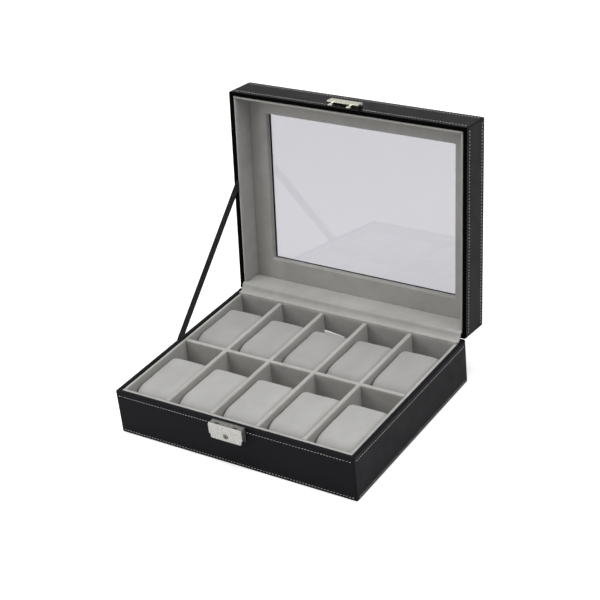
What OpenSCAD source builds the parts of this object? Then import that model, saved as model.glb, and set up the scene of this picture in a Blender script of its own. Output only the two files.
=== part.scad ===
// Watch box: a leather-covered case with a hinged glass lid, ten padded places for
// watches and a small key lock.
// X runs along the front, Y runs back to the hinges and Z is up. The origin is the middle
// of the underside. Every piece of the lid is drawn closed and then turned open.

/* [Case] */
// Width of the case along its front
case_w = 250; // [236:1:290]
// Depth of the case from front to back
case_d = 202; // [190:1:230]
// Height of the base
base_h = 45; // [44:1:60]
// Height of the lid
lid_h = 34; // [32:1:45]
// How far the lid stands open
lid_angle = 96; // [85:1:100]
// Gap between the two rims when the lid is shut
rim_gap = 0.5; // [0.4:0.1:1]
// Radius of the upright corners
corner_r = 1.6; // [1:0.1:2]

/* [Boards and leather] */
// Thickness of the fibreboard walls
board_t = 2.6; // [2.4:0.1:3.4]
// Thickness of the bottom board
bottom_t = 2.6; // [2:0.1:4]
// Thickness of the leather
leather_t = 0.7; // [0.6:0.1:1]
// How far the leather is turned in over the rim
turn_in = 12; // [9:1:14]
// Width of the leather turned under the base
turn_under = 14; // [10:1:20]
// Thickness of the felt on the underside
felt_t = 0.6; // [0.4:0.1:1.5]
// How far the felt stays back from the walls' outside
felt_inset = 5; // [3:1:8]

/* [Lining] */
// Thickness of the base's lined wall cards
lining_t = 3.4; // [2:0.1:4]
// Thickness of the lid's lined wall cards
lid_lining_t = 2.5; // [2:0.1:3]
// Thickness of the base's back card, in front of the hinges
back_card_t = 4.8; // [3:0.1:6]
// Thickness of the lined floor card
floor_card_t = 1.5; // [1:0.1:3]
// How far the lining stays below the rim
lining_drop = 0.6; // [0.4:0.1:2]

/* [Compartments and pillows] */
// Thickness of the dividers
divider_t = 4.5; // [2:0.1:5]
// Gap in the half-lap joints of the dividers
lap_gap = 0.1; // [0.05:0.05:0.3]
// Gap between a pillow and the walls beside and in front of it
pillow_gap = 0.9; // [0.6:0.1:3]
// Length of a pillow, from the front of its place to the finger gap
pillow_l = 69; // [60:1:74]
// Height of a pillow at its crown
pillow_h = 35; // [30:0.5:36]
// How far the crown rises above the pillow's ends
pillow_crown = 3; // [1:0.5:5]
// Radius of a pillow's upright corners
pillow_corner_r = 7; // [4:0.5:8]
// Width of the label on one pillow
label_w = 25; // [14:1:26]
// Height of the label
label_h = 14; // [8:1:20]
// Thickness of the label
label_t = 0.4; // [0.3:0.1:0.8]

/* [Window] */
// From the side of the lid to the window
window_side = 25; // [22:1:35]
// From the front or back of the lid to the window
window_end = 27; // [24:1:35]
// Thickness of the lid's top with its leather
top_t = 4.5; // [4.2:0.1:6]
// Thickness of the glass
glass_t = 2; // [1.5:0.1:2.5]
// How far the glass reaches under the top
glass_lap = 6; // [4:0.5:8]
// Gap round the glass in its rebate
glass_gap = 0.3; // [0.1:0.1:0.6]
// Thickness of the lined frame that holds the glass from inside
bezel_t = 5.5; // [3:0.1:6.5]
// How much wider than the window the lined frame is open, on each side
bezel_step = 1.4; // [1:0.1:3.5]

/* [Hinges] */
// Distance between the middles of the two hinges
hinge_span = 150; // [120:1:180]
// Length of a hinge
hinge_l = 30; // [24:1:40]
// Radius of the knuckles
knuckle_r = 1.7; // [1.5:0.1:2]
// Radius of the hinge pins
hinge_pin_r = 0.8; // [0.6:0.05:0.9]
// How far the hinge axis stands behind the back wall
axis_proud = 0.1; // [0:0.1:0.8]
// Length of the leaf inside the wall
leaf_h = 9; // [8:0.5:9]
// Radius of the rivets through the leaves
leaf_rivet_r = 0.7; // [0.5:0.1:0.9]
// Thickness of the cloth strip over the hinges
strip_t = 0.5; // [0.3:0.1:0.8]

/* [Ribbon] */
// Width of the ribbon that stops the lid
ribbon_w = 9; // [4:0.5:10]
// Thickness of the ribbon
ribbon_t = 0.5; // [0.4:0.1:0.5]
// Distance from the hinge axis to each end of the ribbon
ribbon_reach = 110; // [95:1:120]
// Length of each ribbon end glued behind the lining
ribbon_tab = 15; // [10:1:20]

/* [Lock] */
// Width of the lock's cover at its upper part
lock_w = 35; // [34:0.5:40]
// Width of the cover at its lower edge
lock_foot_w = 32; // [28:0.5:33.5]
// Height of the lock's cover
lock_h = 15; // [14.6:0.2:18]
// Height of the cover's narrower lower edge
lock_foot_h = 3.6; // [2.6:0.2:4]
// How far the lock stands out from the front wall
lock_depth = 7; // [6.8:0.1:9]
// Thickness of the cover's sheet
cover_t = 0.9; // [0.7:0.1:1]
// Thickness of the back plate
plate_t = 0.8; // [0.6:0.1:1]
// How far the middle of the hooks stands out from the front wall
hook_out = 4.1; // [3.9:0.1:4.2]
// Distance between the two catch hooks
hook_span = 19.2; // [18.6:0.2:19.6]
// Thickness of the hooks and of the bolt
hook_t = 1; // [0.8:0.1:1.2]
// Width of a hook's shank
hook_w = 2; // [1.6:0.1:2.2]
// How far a hook's barb sticks out
barb_w = 1.8; // [1.4:0.1:1.8]
// Length of a hook below the rim
hook_l = 5.6; // [5.4:0.1:6]
// Height of the key barrel above the cover's lower edge
barrel_up = 4.9; // [4.6:0.1:5.2]
// Radius of the key barrel
barrel_r = 2.5; // [2.2:0.1:2.8]
// Offset of the pin on the barrel that moves the bolt
cam_offset = 1.6; // [1.4:0.1:1.6]
// Height of the strike on the lid
strike_h = 8.5; // [8:0.5:12]
// How far the strike stands out from the lid's front wall
strike_depth = 5.6; // [5.6:0.1:7]
// Thickness of the strike's sheet
strike_t = 0.9; // [0.7:0.1:1.2]

/* [Clearances] */
// Gap between a lock part that slides and what guides it
slide_gap = 0.12; // [0.1:0.01:0.16]
// Gap between a turning part and its bore
turn_gap = 0.06; // [0.03:0.01:0.1]
// Gap that keeps parts on the lid clear of parts on the base
swing_gap = 0.3; // [0.25:0.05:0.35]

/* [Hidden] */
COLUMNS = 5;
ROWS = ["front", "back"];
LABELLED_COLUMN = 3;

$fn = 48;
MORE = 1;                                   // how far a cutting shape runs past a face
LAP = 0.01;                                 // how far two joined shapes run into each other
RIBBON_GAP = 0.05;                          // room round the ribbon in its pocket
STRIP_GAP = 0.05;                           // between the cloth strip and what it lies on

// The walls, from the outside in
rim_w = 2 * leather_t + board_t;
board_z = felt_t + leather_t;
floor_z = board_z + bottom_t + floor_card_t;
front_y = -case_d / 2;
back_y = case_d / 2;
inner_x = case_w / 2 - rim_w - lining_t;
inner_front_y = front_y + rim_w + lining_t;
inner_back_y = back_y - rim_w - back_card_t;
lining_top_z = base_h - lining_drop;

// The closed lid
lid_z = base_h + rim_gap;
lid_top_z = lid_z + lid_h;
lid_lining_z = lid_z + lining_drop;
glass_z = lid_top_z - top_t;
bezel_z = glass_z - bezel_t;
window_w = case_w - 2 * window_side;
window_d = case_d - 2 * window_end;

// The hinge axis
axis_y = back_y + axis_proud;
axis_z = base_h + rim_gap / 2;
leaf_y = back_y - rim_w;                    // inner face of a leaf inside the wall
knuckle_l = (hinge_l - 2 * swing_gap) / 3;
base_rivet_z = base_h - leaf_h * 0.6;
lid_rivet_z = lid_z + leaf_h * 0.6;
nail_depth = board_t * 0.7;

// The compartments
place_w = (2 * inner_x - (COLUMNS - 1) * divider_t) / COLUMNS;
place_d = (inner_back_y - inner_front_y - divider_t) / 2;
long_divider_y = inner_front_y + place_d + divider_t / 2;
divider_h = lining_top_z - floor_z;
pillow_w = place_w - 2 * pillow_gap;
side_crown = pillow_crown * 0.7;

// The lock: its top is level with the rim, and its barrel sits in the middle of its width
lock_top_z = base_h;
lock_face_y = front_y - lock_depth;
plate_y = front_y - plate_t;
hook_y = front_y - hook_out - hook_t / 2;
barrel_z = lock_top_z - lock_h + barrel_up;
cover_slope = 1;
cover_corner = 0.6;
cam_lift = cam_offset * cos(45);
bolt_travel = 2 * cam_lift;
cam_r = 0.8;
barrel_proud = 0.3;
flange_lap = 0.7;
keyhole_r = 0.8;
cam_z = barrel_z + cam_lift;
post_r = 1;
post_head_r = 1.5;
post_x = 8.2;
post_z = barrel_z + 0.4;
nail_r = 0.8;
nail_head_r = 1.7;
nail_head_t = 0.5;
nail_x = 12.4;
hook_tip_z = base_h - hook_l;
barb_h = 1.8;
barb_top_z = hook_tip_z + barb_h;
strike_low_z = lid_z + 0.4;
lock_nail_z = lock_top_z - lock_h + lock_foot_h - cover_slope;
strike_nail_z = lid_z + strike_h * 0.55;
bolt_low_z = post_z - post_r - slide_gap - 1;
bolt_high_z = hook_tip_z - swing_gap;

function column_x(i) = -inner_x + (i - 0.5) * place_w + (i - 1) * divider_t;
function divider_x(i) = column_x(i) + (place_w + divider_t) / 2;
function hook_x(side) = side * hook_span / 2;

leather_colour = [0.13, 0.13, 0.15];
lining_colour = [0.66, 0.66, 0.64];
board_colour = [0.55, 0.42, 0.3];
steel_colour = [0.75, 0.75, 0.72];

// ---- Helpers ----

// A block given by its two corners
module block(low, high) {
    translate(low) cube(high - low);
}

// Anything drawn on the closed lid, turned open about the hinge axis
module open_lid() {
    translate([0, axis_y, axis_z])
        rotate([-lid_angle, 0, 0])
            translate([0, -axis_y, -axis_z]) children();
}

// The outline of the case, drawn in by a margin
module case_outline(margin, r = 0) {
    half_w = case_w / 2 - margin;
    half_d = case_d / 2 - margin;
    if (r > 0) {
        square([2 * half_w, 2 * (half_d - r)], center = true);
        square([2 * (half_w - r), 2 * half_d], center = true);
        for (x = [-1, 1], y = [-1, 1])
            translate([x * (half_w - r), y * (half_d - r)]) circle(r);
    } else {
        square([2 * half_w, 2 * half_d], center = true);
    }
}

// A ring between the case's outline and a rectangle inside it
module case_ring(low_z, high_z, inner_margin) {
    translate([0, 0, low_z]) linear_extrude(high_z - low_z) difference() {
        case_outline(0, corner_r);
        case_outline(inner_margin);
    }
}

// A plain ring between two rectangles
module inner_ring(low_z, high_z, outer_margin, inner_margin) {
    translate([0, 0, low_z]) linear_extrude(high_z - low_z) difference() {
        case_outline(outer_margin);
        case_outline(inner_margin);
    }
}

// A rod along X
module rod_x(x, y, z, r, length) {
    translate([x, y, z]) rotate([0, 90, 0]) cylinder(h = length, r = r, center = true);
}

// A rod along Y, from its low y to its high y
module rod_y(x, z, r, low_y, high_y) {
    translate([x, low_y, z]) rotate([-90, 0, 0]) cylinder(h = high_y - low_y, r = r);
}

// ---- Walls of the base and the lid ----

// What the hinges need cut out of the back wall: room for the knuckles, for the leaf across
// the rim and for the leaf down the wall's inner side
module hinge_mortise(rim_z, wall_z) {
    for (side = [-1, 1]) {
        low_x = side * hinge_span / 2 - hinge_l / 2 - swing_gap;
        high_x = low_x + hinge_l + 2 * swing_gap;
        rod_x((low_x + high_x) / 2, axis_y, axis_z, knuckle_r + swing_gap, high_x - low_x);
        block([low_x, leaf_y - MORE, rim_z[0]], [high_x, back_y + MORE, rim_z[1]]);
        block([low_x, leaf_y - MORE, wall_z[0]], [high_x, leaf_y + leather_t, wall_z[1]]);
    }
}

module base_mortise() {
    hinge_mortise([base_h - leather_t, base_h + MORE], [base_h - leaf_h - swing_gap, base_h]);
}

module lid_mortise() {
    hinge_mortise([lid_z - MORE, lid_z + leather_t], [lid_z, lid_z + leaf_h + swing_gap]);
}

// Holes for the rivets that hold the leaves to the back wall
module leaf_rivets(z, r) {
    for (side = [-1, 1], end = [-1, 1])
        rod_y(side * hinge_span / 2 + end * hinge_l / 4, z, r, leaf_y + leather_t,
              leaf_y + leather_t + nail_depth);
}

// Holes for the nails of the lock or the strike, through the leather into the front wall
module front_nails(z) {
    for (side = [-1, 1])
        rod_y(side * nail_x, z, nail_r, front_y - MORE, front_y + leather_t + nail_depth);
}

// One wall board, by its side of the case
module wall_board(side, low_z, high_z) {
    out = leather_t;
    in = leather_t + board_t;
    x = case_w / 2;
    y = case_d / 2;
    if (side == "front") block([-x + out, -y + out, low_z], [x - out, -y + in, high_z]);
    if (side == "back") block([-x + out, y - in, low_z], [x - out, y - out, high_z]);
    if (side == "left") block([-x + out, -y + in, low_z], [-x + in, y - in, high_z]);
    if (side == "right") block([x - in, -y + in, low_z], [x - out, y - in, high_z]);
}

module base_board(side) {
    color(board_colour) difference() {
        wall_board(side, board_z, base_h - leather_t);
        if (side == "back") {
            base_mortise();
            leaf_rivets(base_rivet_z, leaf_rivet_r);
        }
        if (side == "front") front_nails(lock_nail_z);
    }
}

module base_bottom_board() {
    color(board_colour) translate([0, 0, board_z]) linear_extrude(bottom_t)
        case_outline(leather_t + board_t);
}

// Leather over the outside, the rim and the upper inside of the walls, and under the edge
module base_leather() {
    color(leather_colour) difference() {
        union() {
            case_ring(felt_t, base_h, leather_t);
            case_ring(base_h - leather_t, base_h, rim_w);
            inner_ring(base_h - turn_in, base_h, leather_t + board_t, rim_w);
            case_ring(felt_t, board_z, turn_under);
        }
        base_mortise();
        front_nails(lock_nail_z);
    }
}

module underside_felt() {
    color([0.1, 0.1, 0.11]) union() {
        linear_extrude(felt_t) case_outline(felt_inset, corner_r);
        translate([0, 0, felt_t]) linear_extrude(leather_t) case_outline(turn_under);
    }
}

module lid_board(side) {
    color(board_colour) open_lid() difference() {
        wall_board(side, lid_z + leather_t, glass_z);
        if (side == "back") {
            lid_mortise();
            leaf_rivets(lid_rivet_z, leaf_rivet_r);
        }
        if (side == "front") front_nails(strike_nail_z);
    }
}

// The top board, with the window and the rebate that the glass lies in
module lid_top_frame() {
    glass_w = window_w + 2 * (glass_lap + glass_gap);
    glass_d = window_d + 2 * (glass_lap + glass_gap);
    color(board_colour) open_lid() difference() {
        translate([0, 0, glass_z]) linear_extrude(top_t - leather_t) case_outline(leather_t);
        translate([0, 0, glass_z]) cube([window_w + 2 * leather_t, window_d + 2 * leather_t,
                                         3 * top_t], center = true);
        translate([0, 0, glass_z]) cube([glass_w, glass_d, 2 * glass_t], center = true);
    }
}

// Leather over the lid's outside, its window edge, its rim and the inside of the rim
module lid_leather() {
    color(leather_colour) open_lid() difference() {
        union() {
            case_ring(lid_z, lid_top_z, leather_t);
            case_ring(lid_z, lid_z + leather_t, rim_w);
            inner_ring(lid_z, lid_z + turn_in, leather_t + board_t, rim_w);
            translate([0, 0, lid_top_z - leather_t]) linear_extrude(leather_t)
                case_outline(0, corner_r);
            translate([0, 0, glass_z + glass_t])
                linear_extrude(top_t - glass_t)
                    square([window_w + 2 * leather_t, window_d + 2 * leather_t], center = true);
        }
        translate([0, 0, glass_z]) cube([window_w, window_d, 4 * top_t], center = true);
        lid_mortise();
        front_nails(strike_nail_z);
    }
}

module lid_glass() {
    color([0.75, 0.8, 0.8, 0.35]) open_lid()
        translate([0, 0, glass_z]) linear_extrude(glass_t)
            square([window_w + 2 * glass_lap, window_d + 2 * glass_lap], center = true);
}

// ---- Lining ----

// The ribbon lies between the left wall's leather and its lining, in a shallow pocket that is
// cut from a little outside the lining's outer face
module ribbon_pocket() {
    side_of_ribbon(-2 * RIBBON_GAP, ribbon_t + RIBBON_GAP) ribbon_outline(RIBBON_GAP);
}

module base_lining(side) {
    low_z = board_z + bottom_t;
    x = case_w / 2 - rim_w;
    y = case_d / 2 - rim_w;
    color(lining_colour) {
        if (side == "front")
            block([-x, -y, low_z], [x, inner_front_y, lining_top_z]);
        if (side == "back")
            block([-x, inner_back_y, low_z], [x, y, lining_top_z]);
        if (side == "right")
            block([inner_x, inner_front_y, low_z], [x, inner_back_y, lining_top_z]);
        if (side == "left") difference() {
            block([-x, inner_front_y, low_z], [-inner_x, inner_back_y, lining_top_z]);
            ribbon_pocket();
        }
    }
}

module base_floor_lining() {
    color(lining_colour)
        block([-inner_x, inner_front_y, board_z + bottom_t], [inner_x, inner_back_y, floor_z]);
}

module lid_lining(side) {
    x = case_w / 2 - rim_w;
    y = case_d / 2 - rim_w;
    color(lining_colour) {
        if (side == "front") open_lid()
            block([-x, -y, lid_lining_z], [x, -y + lid_lining_t, bezel_z]);
        if (side == "back") open_lid()
            block([-x, y - lid_lining_t, lid_lining_z], [x, y, bezel_z]);
        if (side == "right") open_lid()
            block([x - lid_lining_t, -y + lid_lining_t, lid_lining_z],
                  [x, y - lid_lining_t, bezel_z]);
        if (side == "left") difference() {
            open_lid()
                block([-x, -y + lid_lining_t, lid_lining_z],
                      [lid_lining_t - x, y - lid_lining_t, bezel_z]);
            ribbon_pocket();
        }
    }
}

// Lined frame that holds the glass in its rebate, with its inner edge rounded
module lid_bezel() {
    color(lining_colour) open_lid() difference() {
        translate([0, 0, bezel_z]) linear_extrude(bezel_t)
            case_outline(leather_t + board_t + lap_gap);
        translate([0, 0, bezel_z])
            cube([window_w + 2 * bezel_step, window_d + 2 * bezel_step, 3 * bezel_t],
                 center = true);
    }
}

// ---- Dividers ----

// Slot of a half-lap joint, cut from the top or from the bottom
module lap_slot(x, y, low_z, high_z) {
    half = divider_t / 2 + lap_gap;
    block([x - half, y - half, low_z], [x + half, y + half, high_z]);
}

module long_divider() {
    color(lining_colour) difference() {
        block([-inner_x, long_divider_y - divider_t / 2, floor_z],
              [inner_x, long_divider_y + divider_t / 2, lining_top_z]);
        for (i = [1 : COLUMNS - 1])
            lap_slot(divider_x(i), long_divider_y, floor_z + divider_h / 2, base_h + MORE);
    }
}

module cross_divider(i) {
    color(lining_colour) difference() {
        block([divider_x(i) - divider_t / 2, inner_front_y, floor_z],
              [divider_x(i) + divider_t / 2, inner_back_y, lining_top_z]);
        lap_slot(divider_x(i), long_divider_y, floor_z - MORE, floor_z + divider_h / 2);
    }
}

// ---- Pillows ----

// A pillow's outline seen from above, with rounded corners
module pillow_plan() {
    r = pillow_corner_r;
    square([pillow_w, pillow_l - 2 * r], center = true);
    square([pillow_w - 2 * r, pillow_l], center = true);
    for (x = [-1, 1], y = [-1, 1])
        translate([x * (pillow_w / 2 - r), y * (pillow_l / 2 - r)]) circle(r);
}

// A crowned top over a length: everything below one arc, wider than the pillow
module crowned(width, crown) {
    arc_r = (width * width / 4 + crown * crown) / (2 * crown);
    intersection() {
        translate([-width, -MORE]) square([2 * width, 2 * pillow_h]);
        translate([0, pillow_h - arc_r]) circle(arc_r, $fn = 96);
    }
}

// A cushion with a crowned top: its plan, cut by a crown along it and one across
module pillow_shape() {
    intersection() {
        linear_extrude(2 * pillow_h) pillow_plan();
        rotate([90, 0, 0]) linear_extrude(2 * pillow_l, center = true)
            crowned(pillow_w, side_crown);
        rotate([90, 0, 90]) linear_extrude(2 * pillow_w, center = true)
            crowned(pillow_l, pillow_crown);
    }
}

function pillow_y(row) =
    (row == "front" ? inner_front_y : long_divider_y + divider_t / 2)
    + pillow_gap + pillow_l / 2;

module pillow(row, i) {
    color([0.7, 0.7, 0.68]) translate([column_x(i), pillow_y(row), floor_z]) pillow_shape();
}

// Small blank label that stands up from the back end of one pillow of the back row
module pillow_label() {
    y = pillow_y("back") + pillow_l / 2;
    high_z = floor_z + pillow_h;
    color("white")
        block([column_x(LABELLED_COLUMN) - label_w / 2, y, high_z - label_h],
              [column_x(LABELLED_COLUMN) + label_w / 2, y + label_t, high_z]);
}

// ---- Hinges ----

// One leaf of a hinge: a strip through the rim, turned along the inside of the wall
module leaf(x, rim_low_z, wall_low_z, wall_high_z) {
    block([x - hinge_l / 2, leaf_y, rim_low_z],
          [x + hinge_l / 2, axis_y, rim_low_z + leather_t]);
    block([x - hinge_l / 2, leaf_y, wall_low_z],
          [x + hinge_l / 2, leaf_y + leather_t, wall_high_z]);
}

// The stretch of a hinge that the knuckles of the other leaf turn in
module knuckle_room(x, length) {
    rod_x(x, axis_y, axis_z, knuckle_r + swing_gap, length);
}

module leaf_countersinks(z) {
    for (side = [-1, 1], end = [-1, 1])
        translate([side * hinge_span / 2 + end * hinge_l / 4, leaf_y, z])
            rotate([-90, 0, 0])
                cylinder(h = leather_t, r1 = 2 * leaf_rivet_r, r2 = leaf_rivet_r);
}

// The two outer knuckles of each hinge, on leaves riveted inside the base's back wall
module hinge_base_leaves() {
    color(steel_colour) difference() {
        for (side = [-1, 1]) {
            x = side * hinge_span / 2;
            difference() {
                leaf(x, base_h - leather_t, base_h - leaf_h, base_h);
                knuckle_room(x, knuckle_l + 2 * swing_gap);
            }
            for (end = [-1, 1])
                rod_x(x + end * (hinge_l - knuckle_l) / 2, axis_y, axis_z, knuckle_r,
                      knuckle_l);
        }
        for (side = [-1, 1])
            rod_x(side * hinge_span / 2, axis_y, axis_z, hinge_pin_r, hinge_l + MORE);
        leaf_countersinks(base_rivet_z);
    }
}

// The middle knuckle of each hinge, on a leaf riveted inside the lid's back wall
module hinge_lid_leaves() {
    color(steel_colour) open_lid() difference() {
        for (side = [-1, 1]) {
            x = side * hinge_span / 2;
            difference() {
                leaf(x, lid_z, lid_z, lid_z + leaf_h);
                for (end = [-1, 1])
                    knuckle_room(x + end * (hinge_l - knuckle_l) / 2,
                                 knuckle_l + 2 * swing_gap);
            }
            rod_x(x, axis_y, axis_z, knuckle_r, knuckle_l);
        }
        for (side = [-1, 1])
            rod_x(side * hinge_span / 2, axis_y, axis_z, hinge_pin_r + turn_gap,
                  hinge_l + MORE);
        leaf_countersinks(lid_rivet_z);
    }
}

module hinge_pins() {
    color(steel_colour) for (side = [-1, 1])
        rod_x(side * hinge_span / 2, axis_y, axis_z, hinge_pin_r, hinge_l);
}

// Countersunk rivets through the leaves into the wall boards
module hinge_rivets(z) {
    leaf_rivets(z, leaf_rivet_r);
    leaf_countersinks(z);
}

module hinge_base_rivets() {
    color(steel_colour) hinge_rivets(base_rivet_z);
}

module hinge_lid_rivets() {
    color(steel_colour) open_lid() hinge_rivets(lid_rivet_z);
}

// Cloth strip over the hinges, as it lies with the lid open: from the top of the base's back
// card it rises to the rim, rounds the knuckles in a cove and ends at the lid's back card
module hinge_strip() {
    // the corner of the lid's card, turned open about the axis
    card = [leaf_y - lid_lining_t - axis_y, lid_lining_z - axis_z];
    end = [axis_y + card[0] * cos(lid_angle) + card[1] * sin(lid_angle) - STRIP_GAP,
           axis_z - card[0] * sin(lid_angle) + card[1] * cos(lid_angle)];
    // the cove touches both rims and clears the knuckles
    away = (1 + cos(lid_angle)) / sin(lid_angle);
    k = norm([1, away]);
    near = STRIP_GAP - rim_gap / 2;
    r = (knuckle_r + 2 * STRIP_GAP - k * near) / (k - 1);
    mid = [axis_y - away * (r + near), axis_z + r + near];
    turn = 180 - lid_angle;
    card_z = lining_top_z + STRIP_GAP;
    half = case_w / 2 - rim_w - STRIP_GAP;
    color(lining_colour) translate([-half, 0, 0]) rotate([90, 0, 90])
        linear_extrude(2 * half) {
            intersection() {
                translate(mid) difference() {
                    circle(r);
                    circle(r - strip_t);
                }
                translate(mid) polygon([[0, 0], [0, -2 * r], [2 * r, -2 * r],
                                        2 * r * [sin(turn), -cos(turn)]]);
            }
            polygon([[inner_back_y, card_z], [mid[0] + LAP, mid[1] - r],
                     [mid[0] + LAP, mid[1] - r + strip_t], [inner_back_y, card_z + strip_t]]);
            polygon([end, end - [strip_t, 0],
                     mid + (r - strip_t) * [sin(turn), -cos(turn)] - [0, LAP],
                     mid + r * [sin(turn), -cos(turn)] - [0, LAP]]);
        }
}

// ---- Ribbon that stops the lid ----

// Where the ribbon leaves the base and the lid, as [y, z] of its middle
ribbon_low = [axis_y - ribbon_reach, base_h];
ribbon_high = [axis_y - ribbon_reach * cos(lid_angle),
               axis_z + ribbon_reach * sin(lid_angle)];

// The ribbon's outline seen from the side: two glued ends and the taut stretch between
module ribbon_outline(grow) {
    low = ribbon_low;
    high = ribbon_high;
    lean = atan2(high[1] - low[1], high[0] - low[0]);
    span = norm(high - low);
    half = ribbon_w / 2 + grow;
    translate(low) rotate(lean) translate([0, -half]) square([span, 2 * half]);
    for (end = [low, high]) translate(end) circle(half - LAP);
    translate([low[0] - half, low[1] - ribbon_tab]) square([2 * half, ribbon_tab]);
    translate(high) rotate(180 - lid_angle)
        translate([-half, -ribbon_tab]) square([2 * half, ribbon_tab]);
}

// An outline seen from the side, drawn between two distances from the ribbon's outer face
module side_of_ribbon(low, high) {
    translate([-case_w / 2 + rim_w + RIBBON_GAP + low, 0, 0]) rotate([90, 0, 90])
        linear_extrude(high - low) children();
}

module ribbon_stay() {
    color([0.08, 0.08, 0.09]) side_of_ribbon(0, ribbon_t) ribbon_outline(0);
}

// ---- Lock ----

// Plate on the front wall that carries the lock
module lock_back_plate() {
    half = lock_w / 2 - 0.4;
    color(steel_colour) difference() {
        block([-half, plate_y, lock_top_z - lock_h + 0.6], [half, front_y, lock_top_z - cover_t]);
        for (side = [-1, 1]) {
            rod_y(side * nail_x, lock_nail_z, nail_r, plate_y - MORE, front_y + MORE);
            rod_y(side * post_x, post_z, post_r, plate_y - MORE, front_y + MORE);
        }
    }
}

// The cover's face: wide above, a little narrower at its foot, with rounded corners
module cover_face() {
    r = 1.4;
    foot = lock_foot_w / 2;
    wide = lock_w / 2;
    low = -lock_h;
    step = -lock_h + lock_foot_h;
    translate([-foot, low + r]) square([2 * foot, lock_foot_h - r + LAP]);
    translate([-foot + r, low]) square([2 * (foot - r), r + LAP]);
    for (side = [-1, 1]) translate([side * (foot - r), low + r]) circle(r);
    polygon([[-foot, step], [-wide, step + cover_slope], [-wide, -cover_corner],
             [-wide + cover_corner, 0], [wide - cover_corner, 0], [wide, -cover_corner],
             [wide, step + cover_slope], [foot, step]]);
}

// Folded cover with two slots in its top and a side flange at each end
module lock_cover() {
    half = lock_w / 2;
    color(steel_colour) difference() {
        union() {
            translate([0, lock_face_y + cover_t, lock_top_z]) rotate([90, 0, 0])
                linear_extrude(cover_t) cover_face();
            block([-half + cover_corner, lock_face_y, lock_top_z - cover_t],
                  [half - cover_corner, front_y, lock_top_z]);
            for (side = [-1, 1]) translate([side * (half - cover_t / 2), 0, 0])
                side_flange();
        }
        for (side = [-1, 1]) hook_slot(hook_x(side));
        rod_y(0, barrel_z, barrel_r + turn_gap, lock_face_y - MORE, lock_face_y + cover_t + MORE);
    }
}

// Side flange of the cover, seated on the back plate and rounded at its inner corners
module side_flange() {
    r = 2;
    low = lock_top_z - lock_h + lock_foot_h + cover_slope;
    high = lock_top_z - cover_corner;
    depth = lock_depth - plate_t;
    translate([-cover_t / 2, lock_face_y, 0]) rotate([90, 0, 90]) linear_extrude(cover_t) {
        translate([0, low]) square([depth - r, high - low]);
        translate([0, low + r]) square([depth, high - low - 2 * r]);
        for (z = [low + r, high - r]) translate([depth - r, z]) circle(r);
    }
}

// The slot that a hook drops into, as long as the hook with its barb
module hook_slot(x) {
    block([x - hook_w / 2 - barb_w / 2 - swing_gap, hook_y - swing_gap,
           lock_top_z - cover_t - MORE],
          [x + hook_w / 2 + barb_w / 2 + swing_gap, hook_y + hook_t + swing_gap,
           lock_top_z + MORE]);
}

// Shouldered posts that guide the bolt
module lock_guide_posts() {
    color(steel_colour) for (side = [-1, 1]) {
        rod_y(side * post_x, post_z, post_r, hook_y - slide_gap, front_y);
        rod_y(side * post_x, post_z, post_head_r, hook_y + hook_t + slide_gap, plate_y);
        rod_y(side * post_x, post_z, post_head_r, hook_y - slide_gap - nail_head_t,
              hook_y - slide_gap);
    }
}

// Nails with flat heads, through a plate into the front wall
module nails(z, face_y) {
    for (side = [-1, 1]) {
        rod_y(side * nail_x, z, nail_r, face_y, front_y + leather_t + nail_depth);
        rod_y(side * nail_x, z, nail_head_r, face_y - nail_head_t, face_y);
    }
}

module lock_nails() {
    color(steel_colour) nails(lock_nail_z, plate_y);
}

// Sliding bolt: a bar under the hooks with two bent fingers that catch behind the barbs
module lock_bolt() {
    // locked, a fingertip stands close to the hook's shank, above its barb
    tip_x = (hook_w - barb_w) / 2 + slide_gap + bolt_travel;
    riser_x = tip_x + bolt_travel;
    riser_w = 1.4;
    tip_z = barb_top_z + slide_gap;
    tip_h = 1.7;
    low_x = hook_x(-1) - hook_w;
    high_x = hook_x(1) + riser_x + riser_w;
    color(steel_colour) difference() {
        translate([0, hook_y + hook_t, 0]) rotate([90, 0, 0]) linear_extrude(hook_t) {
            translate([low_x, bolt_low_z]) square([high_x - low_x, bolt_high_z - bolt_low_z]);
            for (side = [-1, 1]) {
                translate([hook_x(side) + riser_x, bolt_high_z - LAP])
                    square([riser_w, tip_z + tip_h - bolt_high_z]);
                translate([hook_x(side) + tip_x, tip_z])
                    square([riser_x - tip_x + riser_w, tip_h]);
            }
        }
        for (side = [-1, 1]) post_slot(side * post_x);
        cam_slot();
    }
}

// Slot in the bolt along which a guide post runs as the bolt travels
module post_slot(x) {
    r = post_r + slide_gap;
    block([x - r, hook_y - MORE, post_z - r],
          [x + bolt_travel + r, hook_y + hook_t + MORE, post_z + r]);
}

// Upright slot in the bolt, in which the barrel's pin rises a little and moves it sideways
module cam_slot() {
    r = cam_r + slide_gap;
    block([cam_lift - r, hook_y - MORE, cam_z - r],
          [cam_lift + r, hook_y + hook_t + MORE, barrel_z + cam_offset + r]);
}

// Key barrel: a face with a keyway, a flange behind the cover and an offset pin
module lock_barrel() {
    flange_y = lock_face_y + cover_t + slide_gap;
    flange_t = hook_y - slide_gap - flange_y - slide_gap;
    color(steel_colour) difference() {
        union() {
            rod_y(0, barrel_z, barrel_r, lock_face_y - barrel_proud, flange_y + flange_t);
            rod_y(0, barrel_z, barrel_r + flange_lap, flange_y, flange_y + flange_t);
            rod_y(cam_lift, cam_z, cam_r, flange_y + flange_t - LAP,
                  hook_y + hook_t + swing_gap);
        }
        rod_y(0, barrel_z, keyhole_r, lock_face_y - MORE, flange_y);
        block([-keyhole_r / 2, lock_face_y - MORE, barrel_z - barrel_r + keyhole_r],
              [keyhole_r / 2, flange_y, barrel_z]);
    }
}

// ---- Strike on the lid ----

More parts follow.
